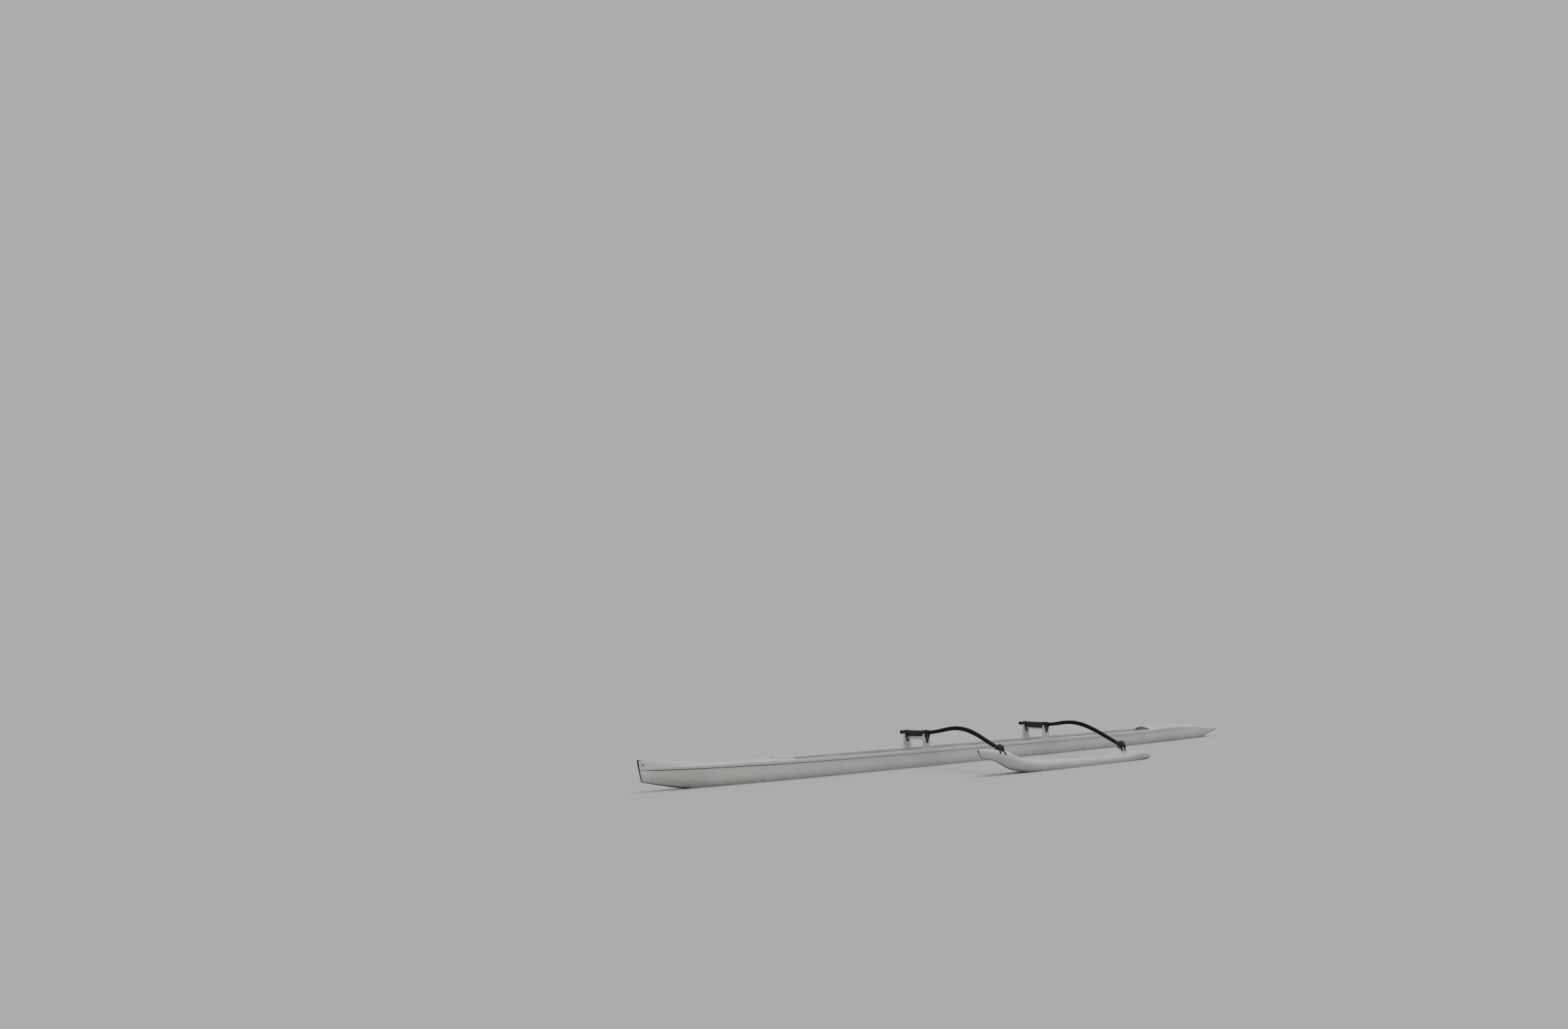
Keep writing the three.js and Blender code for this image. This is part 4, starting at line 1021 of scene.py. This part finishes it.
def hatch(end, hand):
    """A round screw-in lid: a rim with screws, a dished lid and grips."""
    face = BULKHEAD_FACE[end] - (BULKHEAD if hand > 0 else 0)
    height = (sheer(face) + keel(face)) / 2 + HATCH_RAISED

    def spot(radius, turn, proud):
        return Vector((face - hand * (SKIN_GAP + proud), radius * math.cos(turn),
                       height + radius * math.sin(turn)))

    parts = [loft([[spot(radius, turn, proud) for turn in full_turn(64)] for radius, proud in HATCH])]
    for turn in steps(0, math.pi * 2 / 3, 2):
        points = [spot(reach, turn, 0.0055) for reach in steps(-HATCH_GRIP, HATCH_GRIP, 12)]
        parts.append(strip(points, [Vector((-hand, 0, 0))] * len(points), 0.008, 0.007))
    for i in range(8):
        centre = spot(SCREW_RING[0], (i + 0.5) * math.pi / 4, SCREW_RING[1])
        parts.append(loft([[centre + Vector((-hand * proud, radius * math.cos(a), radius * math.sin(a)))
                            for a in full_turn(12)] for radius, proud in SCREW]))
    return piece(f"{end}_hatch_lid", joined(parts), TRIM, (f"{end}_hatch",))


# Beams and posts

def beam_axis(name, y):
    """Point on a beam's centre line, and the direction along it."""
    rise = (beam_height[name](y + 0.002) - beam_height[name](y - 0.002)) / 0.004
    return Vector((BEAM_X[name], y, beam_height[name](y))), Vector((0, 1, rise)).normalized()


def beam_point(name, y, share, grow=0.0, sag=0.0):
    """Point and outward direction on a beam's skin, a share of the way round it."""
    centre, along = beam_axis(name, y)
    up = Vector((0, -along.z, along.y))
    tall = beam_depth[name](y) / 2 + grow
    u, v, nu, nv = rim(BEAM_HALF_WIDTH + grow, tall, BEAM_CORNER + grow * 0.8, share)
    if v < 0:
        v *= 1 + sag / tall
        u *= 1 - 0.25 * min(sag / tall, 1.0) * -v / (tall + sag)
    return centre + up * v + Vector((u, 0, 0)), up * nv + Vector((nu, 0, 0))


def beam_shape(name, grow=0.0):
    """Rings of a beam with rounded ends, and each point's place along, across and up."""
    low, high = BEAMS[name][0][0], BEAMS[name][-1][0]
    rings, grain = [], []
    travelled = 0.0
    before = None
    rows = [(low, -out, scale) for out, scale in BEAM_END]
    rows += [(y, 0.0, 1.0) for y in steps(low, high, 150)]
    rows += [(high, out, scale) for out, scale in reversed(BEAM_END)]
    for y, beyond, scale in rows:
        centre, along = beam_axis(name, y)
        spot = centre + along * beyond
        travelled += (spot - before).length if before else 0.0
        before = spot
        ring = []
        for k in range(BEAM_SIDES):
            point, _ = beam_point(name, y, k / BEAM_SIDES, grow)
            offset = (point - centre) * scale
            ring.append(spot + offset)
            grain.append((travelled, offset.x, offset.z * along.y - offset.y * along.z))
        rings.append(ring)
    return loft(rings), grain


def beam(name):
    shape, grain = beam_shape(name)
    return piece(f"{name}_beam", shape, TIMBER, (f"{name}_iako",), grain=grain)


def post_y(name):
    return half_beam(BEAM_X[name]) - POST_INSET


def underside(name, hand):
    y = hand * post_y(name)
    return beam_height[name](y) - beam_depth[name](y) / 2


def post(name, side, hand):
    """A post flared at its foot, with a saddle for the beam."""
    x, y = BEAM_X[name], hand * post_y(name)
    foot = sheer(x) + POST_SUNK
    head = underside(name, hand) + POST_SADDLE
    rows = [(foot + h, half) for h, half in POST_FOOT] + [(head - h, half) for h, half in POST_HEAD]
    length = through(rows, 1)
    rings = []
    for z in [foot, *steps(foot + 0.012, head - 0.006, 46), head - 0.003, head - 0.001, head]:
        round_off = 0.004 * max(0.0, 1 - (head - z) / 0.005) ** 2
        flare = 0.004 * max(0.0, 1 - (z - foot - 0.020) / 0.014) ** 2 if z > foot + 0.006 else 0.004
        wide, thick = length(z) - round_off, POST_HALF - round_off + min(flare, 0.004)
        rings.append([Vector((x + u, y + v, z)) for u, v in rim_points(wide, thick, POST_CORNER, 48)])
    item = piece(f"{name}_{side}_post", loft(rings), DECK_WHITE, (f"{name}_post_{side}",))
    cut(item, beam_shape(name, SEATING)[0])
    return item


def crossbar(name):
    reach = post_y(name) - POST_HALF - SKIN_GAP
    middle, tall = (CROSSBAR[0] + CROSSBAR[1]) / 2, (CROSSBAR[1] - CROSSBAR[0]) / 2
    section = rim_points(CROSSBAR_HALF, tall, CROSSBAR_CORNER, 32)
    rings = [[Vector((BEAM_X[name] + u, y, middle + v)) for u, v in section]
             for y in steps(-reach, reach, 16)]
    return piece(f"{name}_crossbar_rail", loft(rings), DECK_WHITE, (f"{name}_crossbar",))


# Lashings

def wound(name, start, end, pitch, grow, width, height, sag=lambda y: 0.0, phase=0.0):
    """Turns of a strip round a beam between two places along it."""
    per_turn = 30
    count = int(abs(end - start) / pitch * per_turn)
    points, normals = [], []
    for i in range(count + 1):
        turn = i / per_turn + phase
        y = start + (end - start) * i / count
        y += WANDER[0] * wobble(turn * 1.7, y * 9, 3.1)
        lift = grow + WANDER[1] * wobble(turn * 2.3, y * 14, 7.7) + 0.0010
        point, normal = beam_point(name, y, turn % 1.0, lift, sag(y))
        points.append(point)
        normals.append(normal)
    return strip(points, normals, width, height)


def hull_lashing(name, side, hand):
    """Turns round the beam, and strands from it through the post's hole."""
    x = BEAM_X[name]
    outer = post_y(name) + POST_HALF
    inner = post_y(name) - POST_HALF
    top = underside(name, hand)

    def sag(y):
        droop, full, none = WRAP_SAG
        return droop * smoothstep(abs(y), none, full) * (1 + 0.25 * wobble(y * 25, 1.3, 0.0)) + 0.001

    parts = [wound(name, hand * start, hand * end, *turns, lambda y: sag(y) * share, phase)
             for start, end, *turns, share, phase in WRAPS]
    out = Vector((0, hand, 0))
    over = beam_height[name](hand * outer) + beam_depth[name](hand * outer) / 2
    middle = beam_height[name](hand * outer)
    half_way = (POST_HOLE_Z + top) / 2
    for top_out, top_in, lift in STRANDS:
        fore = math.copysign(1, top_out)
        edge = fore * max(BEAM_HALF_WIDTH + 0.012 + lift, abs(top_out) * 0.86)
        entry = 0.002 + top_out * 0.18
        centre = post_y(name)
        controls = [
            (entry, outer - 0.006, POST_HOLE_Z, out),
            (entry + top_out * 0.05, outer + lift * 0.4 + 0.001, POST_HOLE_Z + 0.006, out),
            (top_out * 0.50, outer + lift + 0.0005, half_way, out),
            (top_out, outer + lift + 0.002, top - 0.006, out),
            (edge, outer + 0.004, middle - 0.004, Vector((fore, 0.4 * hand, 0))),
            (edge * 0.80, centre + 0.010, over + 0.002 + lift, Vector((fore, 0, 1))),
            (0.0, centre, over + 0.006 + lift, Vector((0, 0, 1))),
            (-edge * 0.80, centre - 0.010, over + 0.002 + lift, Vector((-fore, 0, 1))),
            (-edge, inner - 0.004, middle - 0.004, Vector((-fore, -0.4 * hand, 0))),
            (top_in, inner - lift - 0.002, top - 0.006, -out),
            (top_in * 0.82, inner - lift - 0.0005, half_way - 0.006, -out),
            (top_in * 0.25, inner - lift * 0.4 - 0.001, POST_HOLE_Z + 0.002, -out),
            (0.0, inner + 0.006, POST_HOLE_Z, -out),
        ]
        route = [(Vector((x + a, hand * b, c)), normal) for a, b, c, normal in controls]
        parts.append(laid(route, 7, *STRAND))
    return piece(f"{name}_{side}_lashing", joined(parts), LASHING,
                 (f"{name}_hull_lashing_{side}",), sharp=LOOSE_SHARP)


def float_section(x, up):
    """The waist's height, and above or below it the reach and the powers across and up."""
    middle = float_keel(x) + (float_top(x) - float_keel(x)) * FLOAT_WAIST
    if up:
        return middle, float_top(x) - middle, *FLOAT_ABOVE
    vee = smoothstep(x, *VEE_STARTS)
    powers = (a * (1 - vee) + b * vee for a, b in zip(FLOAT_BELOW, FLOAT_VEE))
    return middle, middle - float_keel(x), *powers


def float_point(x, turn, grow=0.0):
    """Point and outward direction on the float's skin; a turn of 0 is its port side."""
    middle, reach, wide, tall = float_section(x, math.sin(turn) > 0)
    reach += grow
    across = math.copysign(abs(math.cos(turn)) ** wide, math.cos(turn))
    rise = math.copysign(abs(math.sin(turn)) ** tall, math.sin(turn))
    point = Vector((x, FLOAT_Y + (float_half(x) + grow) * across, middle + reach * rise))
    normal = Vector((0, across / float_half(x), rise / max(reach, 0.001))).normalized()
    return point, normal


def float_surface(x, y):
    """Height of the float's upper skin."""
    middle, reach, wide, tall = float_section(x, True)
    across = min(abs(y - FLOAT_Y) / float_half(x), 1.0) ** (1 / wide)
    return middle + reach * math.sqrt(1 - across * across) ** tall


def pylon_controls(turn):
    """Points that shape the pylon's side at a turn about it; a turn of 0 is its forward edge."""
    fore, aft = PYLON_SWEEP[1], PYLON_SWEEP[-1]
    head_reach, foot_reach = (fore if math.cos(turn) > 0 else aft)[:2]
    ahead = (1 + math.cos(turn)) / 2
    neck, share, rise = (f * ahead + a * (1 - ahead) for f, a in zip(fore[2:], aft[2:]))
    head = Vector((PYLON_X + head_reach * math.cos(turn), FLOAT_Y + PYLON_HALF[0] * math.sin(turn),
                   PYLON_TOP))
    foot = Vector((PYLON_X + foot_reach * math.cos(turn), FLOAT_Y + PYLON_HALF[1] * math.sin(turn), 0))
    bend = head.lerp(foot, share)
    bend.z = float_surface(bend.x, bend.y) + rise
    foot.z = float_surface(foot.x, foot.y) - SKIN_GAP
    return head, Vector((head.x, head.y, neck)), bend, foot


def pylon_point(turn, share, grow=0.0):
    """Point and outward direction on the pylon's side, a share of the way down it."""
    controls = pylon_controls(turn)
    point = bezier(controls, share)
    down = bezier(controls, min(share + 0.01, 1)) - bezier(controls, max(share - 0.01, 0))
    along = bezier(pylon_controls(turn + 0.02), share) - point
    normal = down.cross(along).normalized()
    return point + normal * grow, normal


def pylon_at(z, turn, grow=0.0):
    """Point and outward direction on the pylon's side at a height."""
    controls = pylon_controls(turn)
    return pylon_point(turn, last_before(0.0, 1.0, 16, lambda share: bezier(controls, share).z > z), grow)


def pylon_turn(x, z, hand):
    """The turn at which the pylon's side has a station and height, to port for a hand of 1."""
    return hand * last_before(0.0, math.pi, 14, lambda turn: pylon_at(z, hand * turn)[0].x > x)


def collar(name):
    """Layers of turns round the end of a beam."""
    return [wound(name, *turns, phase=phase) for *turns, phase in COLLARS]


def crossed(name, climb):
    """Cords, three side by side, that climb on both sides of a beam and cross over its end."""
    middle, spread, pitch = CROSSING
    parts = []
    for layer, hand in enumerate((1, -1)):
        for k in (-1, 0, 1):
            over = []
            for step in range(9):
                y = middle + hand * spread * (1 - step / 4) + k * pitch
                grow = 0.010 + 0.006 * layer + 0.002 * abs(k)
                over.append(beam_point(name, y, 0.02 + 0.0575 * step, grow))
            parts.append(laid([*climb(1, hand, k), *over, *reversed(climb(-1, -hand, k))], 5, *CORD))
    return parts


def knot(name, climb):
    """Cords along the top of a beam's end, and others that go over its end to both sides."""
    rise = (0.004, 0.020, 0.030, 0.029, 0.020, 0.004)
    parts = [laid([beam_point(name, y, share, grow) for y, grow in zip(steps(1.880, 1.974, 5), rise)],
                  6, *CORD) for share in (0.23, 0.27)]
    end = BEAMS[name][-1][0] + 0.016
    for fore in (1, -1):
        for k in (-0.5, 0.5, 1.5):
            route = [beam_point(name, y, 0.25 - fore * (0.03 + 0.02 * k), 0.016)
                     for y in (1.915, 1.935, 1.955)]
            for across, y, drop in ((0.012, end, 0.010), (0.020, end + 0.004, -0.012)):
                spot = Vector((BEAM_X[name] + fore * (across + 0.010 * k), y, beam_height[name](y) + drop))
                route.append((spot, Vector((fore * 0.3, 1, 0.2))))
            parts.append(laid([*route, *reversed(climb(fore, 1, k)[:-1])], 5, *CORD))
    return parts


# How a cord climbs to the beam: share of the climb, turn or height, and distance off the skin.
FORE_CLIMB = ((0.0, 0.32, -0.010), (0.0, 0.38, 0.0005), (0.35, 0.58, 0.001), (0.7, 0.88, 0.0015),
              (1.0, 1.20, 0.002))
AFT_CLIMB = ((0.0, 0.180, -0.010), (0.0, 0.187, 0.0005), (0.35, 0.208, 0.001), (0.7, 0.232, 0.0015),
             (1.0, 0.258, 0.002))


def fore_float_lashing():
    x0 = BEAM_X["fore"]

    def climb(fore, hand, k):
        """A cord's way up the float's side, on the beam's forward or after side."""
        foot, head = (0.066, 0.044) if fore > 0 else (-0.044, -0.034)
        route = []
        for share, turn, grow in FORE_CLIMB:
            x = x0 + foot + (head - foot) * share + k * (0.007 + 0.003 * share)
            route.append(float_point(x, turn if hand > 0 else math.pi - turn, grow + 0.0008 * k))
        return route

    parts = collar("fore") + crossed("fore", climb) + knot("fore", climb)
    for offset in PADS:
        pad = []
        turns = steps(0.95, math.pi - 0.95, 8)
        for turn in turns:
            x = x0 + offset + 0.002 * wobble(turn * 2, offset * 40, 0)
            grow = 0.003 + 0.0015 * wobble(turn * 3, offset * 90, 2)
            pad.append(float_point(x, turn, -0.008 if turn in (turns[0], turns[-1]) else grow))
        parts.append(laid(pad, 4, *PAD))
    return piece("fore_float_binding", joined(parts), LASHING, ("fore_float_lashing",), sharp=LOOSE_SHARP)


def aft_float_lashing():
    x0 = BEAM_X["aft"]

    def climb(fore, hand, k):
        """A cord's way up the pylon's side, on the beam's forward or after side."""
        foot, head, widen = (0.005, 0.014, 0.003) if fore > 0 else (-0.074, -0.049, 0.001)
        route = []
        for share, z, grow in AFT_CLIMB:
            x = x0 + foot + (head - foot) * share + k * (0.007 + widen * share)
            route.append(pylon_at(z, pylon_turn(x, z, hand), grow + 0.0008 * k))
        return route

    parts = collar("aft") + crossed("aft", climb) + knot("aft", climb)
    for middle, row, grow in NECK_TURNS:
        turns = []
        for turn in steps(-1.5, 1.5, 12):
            point, normal = pylon_at(NECK_HEIGHT + CROSSING[2] * row, middle + turn, grow)
            point.z += 0.03 * (turn / 1.5) ** 4
            turns.append((point, normal))
        parts.append(laid(turns, 4, *CORD))
    crest = beam_point("aft", 1.925, 0.25, 0.020)[0].z
    route = [(Vector((x0 + x, y, crest + rise)), Vector((0, 0, 1))) for x, y, rise in LOOSE_END]
    parts.append(laid(route, 6, *CORD))
    return piece("aft_float_binding", joined(parts), LASHING, ("aft_float_lashing",), sharp=LOOSE_SHARP)


# Float

def float_skin():
    low, high = FLOAT_ENDS
    stations = [low + (high - low) * (1 - math.cos(math.pi * t)) / 2 for t in steps(0, 1, 170)]
    rings = [[float_point(x, turn)[0] for turn in full_turn(64)] for x in stations]
    return piece("float_skin", loft(rings), FLOAT_WHITE, ("ama",))


def float_pylon():
    """A column with a rounded top edge, whose sides sweep out into the float's skin."""
    turns = full_turn(72)
    rings = []
    for drop, inset in PYLON_EDGE:
        rings.append([pylon_point(turn, 0.0, -inset)[0] - Vector((0, 0, drop)) for turn in turns])
    rings += [[pylon_point(turn, share)[0] for turn in turns] for share in steps(0.05, 1, 40)]
    centre = Vector((PYLON_X, FLOAT_Y, 0))
    sole = []
    for point in rings[-1]:
        inward = centre + (point - centre) * 0.8
        inward.z = PYLON_SOLE
        sole.append(inward)
    rings.append(sole)
    item = piece("float_pylon", loft(rings), FLOAT_WHITE, ("ama_pylon",))
    cut(item, beam_shape("aft", SEATING)[0])
    return item


def float_width(x, z):
    """Half width of the float at a point of its centre plane."""
    x = min(max(x, FLOAT_ENDS[0]), FLOAT_ENDS[1])
    middle, reach, wide, tall = float_section(x, z > float_section(x, True)[0])
    sine = min(abs(z - middle) / reach, 1.0) ** (1 / tall)
    return float_half(x) * math.sqrt(1 - sine * sine) ** wide


def float_band(name, start, end, node_name):
    """Trim along the float's keel, from a station to close to one of its tips. Towards the tail it is
    widened, and there it is also painted shadow at the water along the tail's lower edge.
    """
    stations = sorted(start + (end - start) * math.sin(math.pi / 2 * t) for t in steps(0, 1, 80))
    line = [(x, float_keel(x)) for x in stations]
    if end > start:
        line += [(end, z) for z in steps(float_keel(end) + 0.0015, float_top(end) - 0.001, 3)]
        line += [(end - back, float_top(end - back)) for back in (0.0006, 0.0014, 0.0024, 0.0036, 0.005)]

    def reach(x, z):
        rear = FLOAT_BAND["keel" if x > 0 else "tail"]
        share = smoothstep(x, 1.1, 1.6)
        depth, widest = (a + (b - a) * share for a, b in zip(rear, FLOAT_BAND["nose"]))
        while float_width(x, z + depth) > widest:
            depth *= 0.92
        return depth

    return edge_band(name, line, reach, float_width, node_name, FLOAT_Y)


# Studio

def floor():
    """A plain floor at the waterline, open inside the hull."""
    low, high = FLOOR_OPENING
    edge = [(x, hull_half(x, 0.0) - 0.005) for x in hull_stations(low, high)]
    vertices = []
    for x, y in edge:
        vertices += [(x, -FLOOR_REACH, 0), (x, -y, 0), (x, y, 0), (x, FLOOR_REACH, 0)]
    after = 4 * (len(edge) - 1)
    faces = []
    for a in range(0, after, 4):
        faces += [(a, a + 1, a + 5, a + 4), (a + 2, a + 3, a + 7, a + 6)]
    for a, x in ((0, -FLOOR_REACH), (after, FLOOR_REACH)):
        first = len(vertices)
        vertices += [(x, -FLOOR_REACH, 0), (x, FLOOR_REACH, 0)]
        faces.append((a, first, first + 1, a + 3, a + 2, a + 1))
    mesh = bpy.data.meshes.new("floor")
    mesh.from_pydata(vertices, [], faces)
    mesh.materials.append(plain_floor())
    item = bpy.data.objects.new("floor", mesh)
    bpy.context.collection.objects.link(item)


def lights():
    """An even pale backdrop, and one broad soft light from above."""
    world = bpy.data.worlds.new("soft_studio")
    bpy.context.scene.world = world
    world.use_nodes = True
    backdrop = world.node_tree.nodes["Background"]
    backdrop.inputs["Color"].default_value = (0.93, 0.965, 1.0, 1)
    backdrop.inputs["Strength"].default_value = 0.55
    data = bpy.data.lights.new("overhead", "SUN")
    data.energy = 1.9
    data.angle = math.radians(40)
    item = bpy.data.objects.new("overhead", data)
    item.rotation_euler = Vector((-0.087, 0.139, 1.0)).to_track_quat("Z", "Y").to_euler()
    bpy.context.collection.objects.link(item)


def camera():
    """The photograph's viewpoint: place, heading, tilt, roll and focal length in its pixels."""
    eye = (16.80, 17.08, 2.453)
    image_width, focal = 2380, 2050
    yaw, tilt, roll = 0.6395, math.atan2(160.7, focal), math.atan(-0.0137)
    plan = Vector((-math.sin(yaw), -math.cos(yaw), 0))
    right = Vector((-math.cos(yaw), math.sin(yaw), 0))
    ahead = plan * math.cos(tilt) + Vector((0, 0, math.sin(tilt)))
    up = right.cross(ahead)
    level, lean = math.cos(roll), math.sin(roll)
    axes = (right * level + up * lean, up * level - right * lean, -ahead)
    data = bpy.data.cameras.new("camera")
    data.sensor_fit = "HORIZONTAL"
    data.sensor_width = 36
    data.lens = focal / image_width * data.sensor_width
    data.clip_end = 5 * FLOOR_REACH
    item = bpy.data.objects.new("camera", data)
    item.matrix_world = Matrix.Translation(eye) @ Matrix(axes).transposed().to_4x4()
    bpy.context.collection.objects.link(item)
    bpy.context.scene.camera = item


def build():
    hull_skin()
    tow_hole(deck("foredeck_shell", COCKPIT[1], STEM_X - 0.001, "foredeck", COCKPIT[1]))
    deck("aft_deck_shell", STERN_X, COCKPIT[0], "aft_deck", COCKPIT[0])
    for side, hand in SIDES:
        gunwale(side, hand)
        seam_and_shadow_stripe(side, hand)
    bow_band()
    stern_band()
    splash_guard()
    for i in range(6):
        seat(i + 1, SEAT_TOP_X - i * SEAT_PITCH)
    for end, hand in (("bow", 1), ("stern", -1)):
        bulkhead(end)
        hatch(end, hand)
    for name in ("fore", "aft"):
        beam(name)
        crossbar(name)
        for side, hand in SIDES:
            post(name, side, hand)
            hull_lashing(name, side, hand)
    float_skin()
    float_pylon()
    float_band("float_nose_edge", 0.900, 1.8546, "ama_nose_band")
    float_band("float_tail_edge_and_shadow", -1.730, -2.262, "ama_tail_band")
    fore_float_lashing()
    aft_float_lashing()


camera()
floor()
lights()
build()
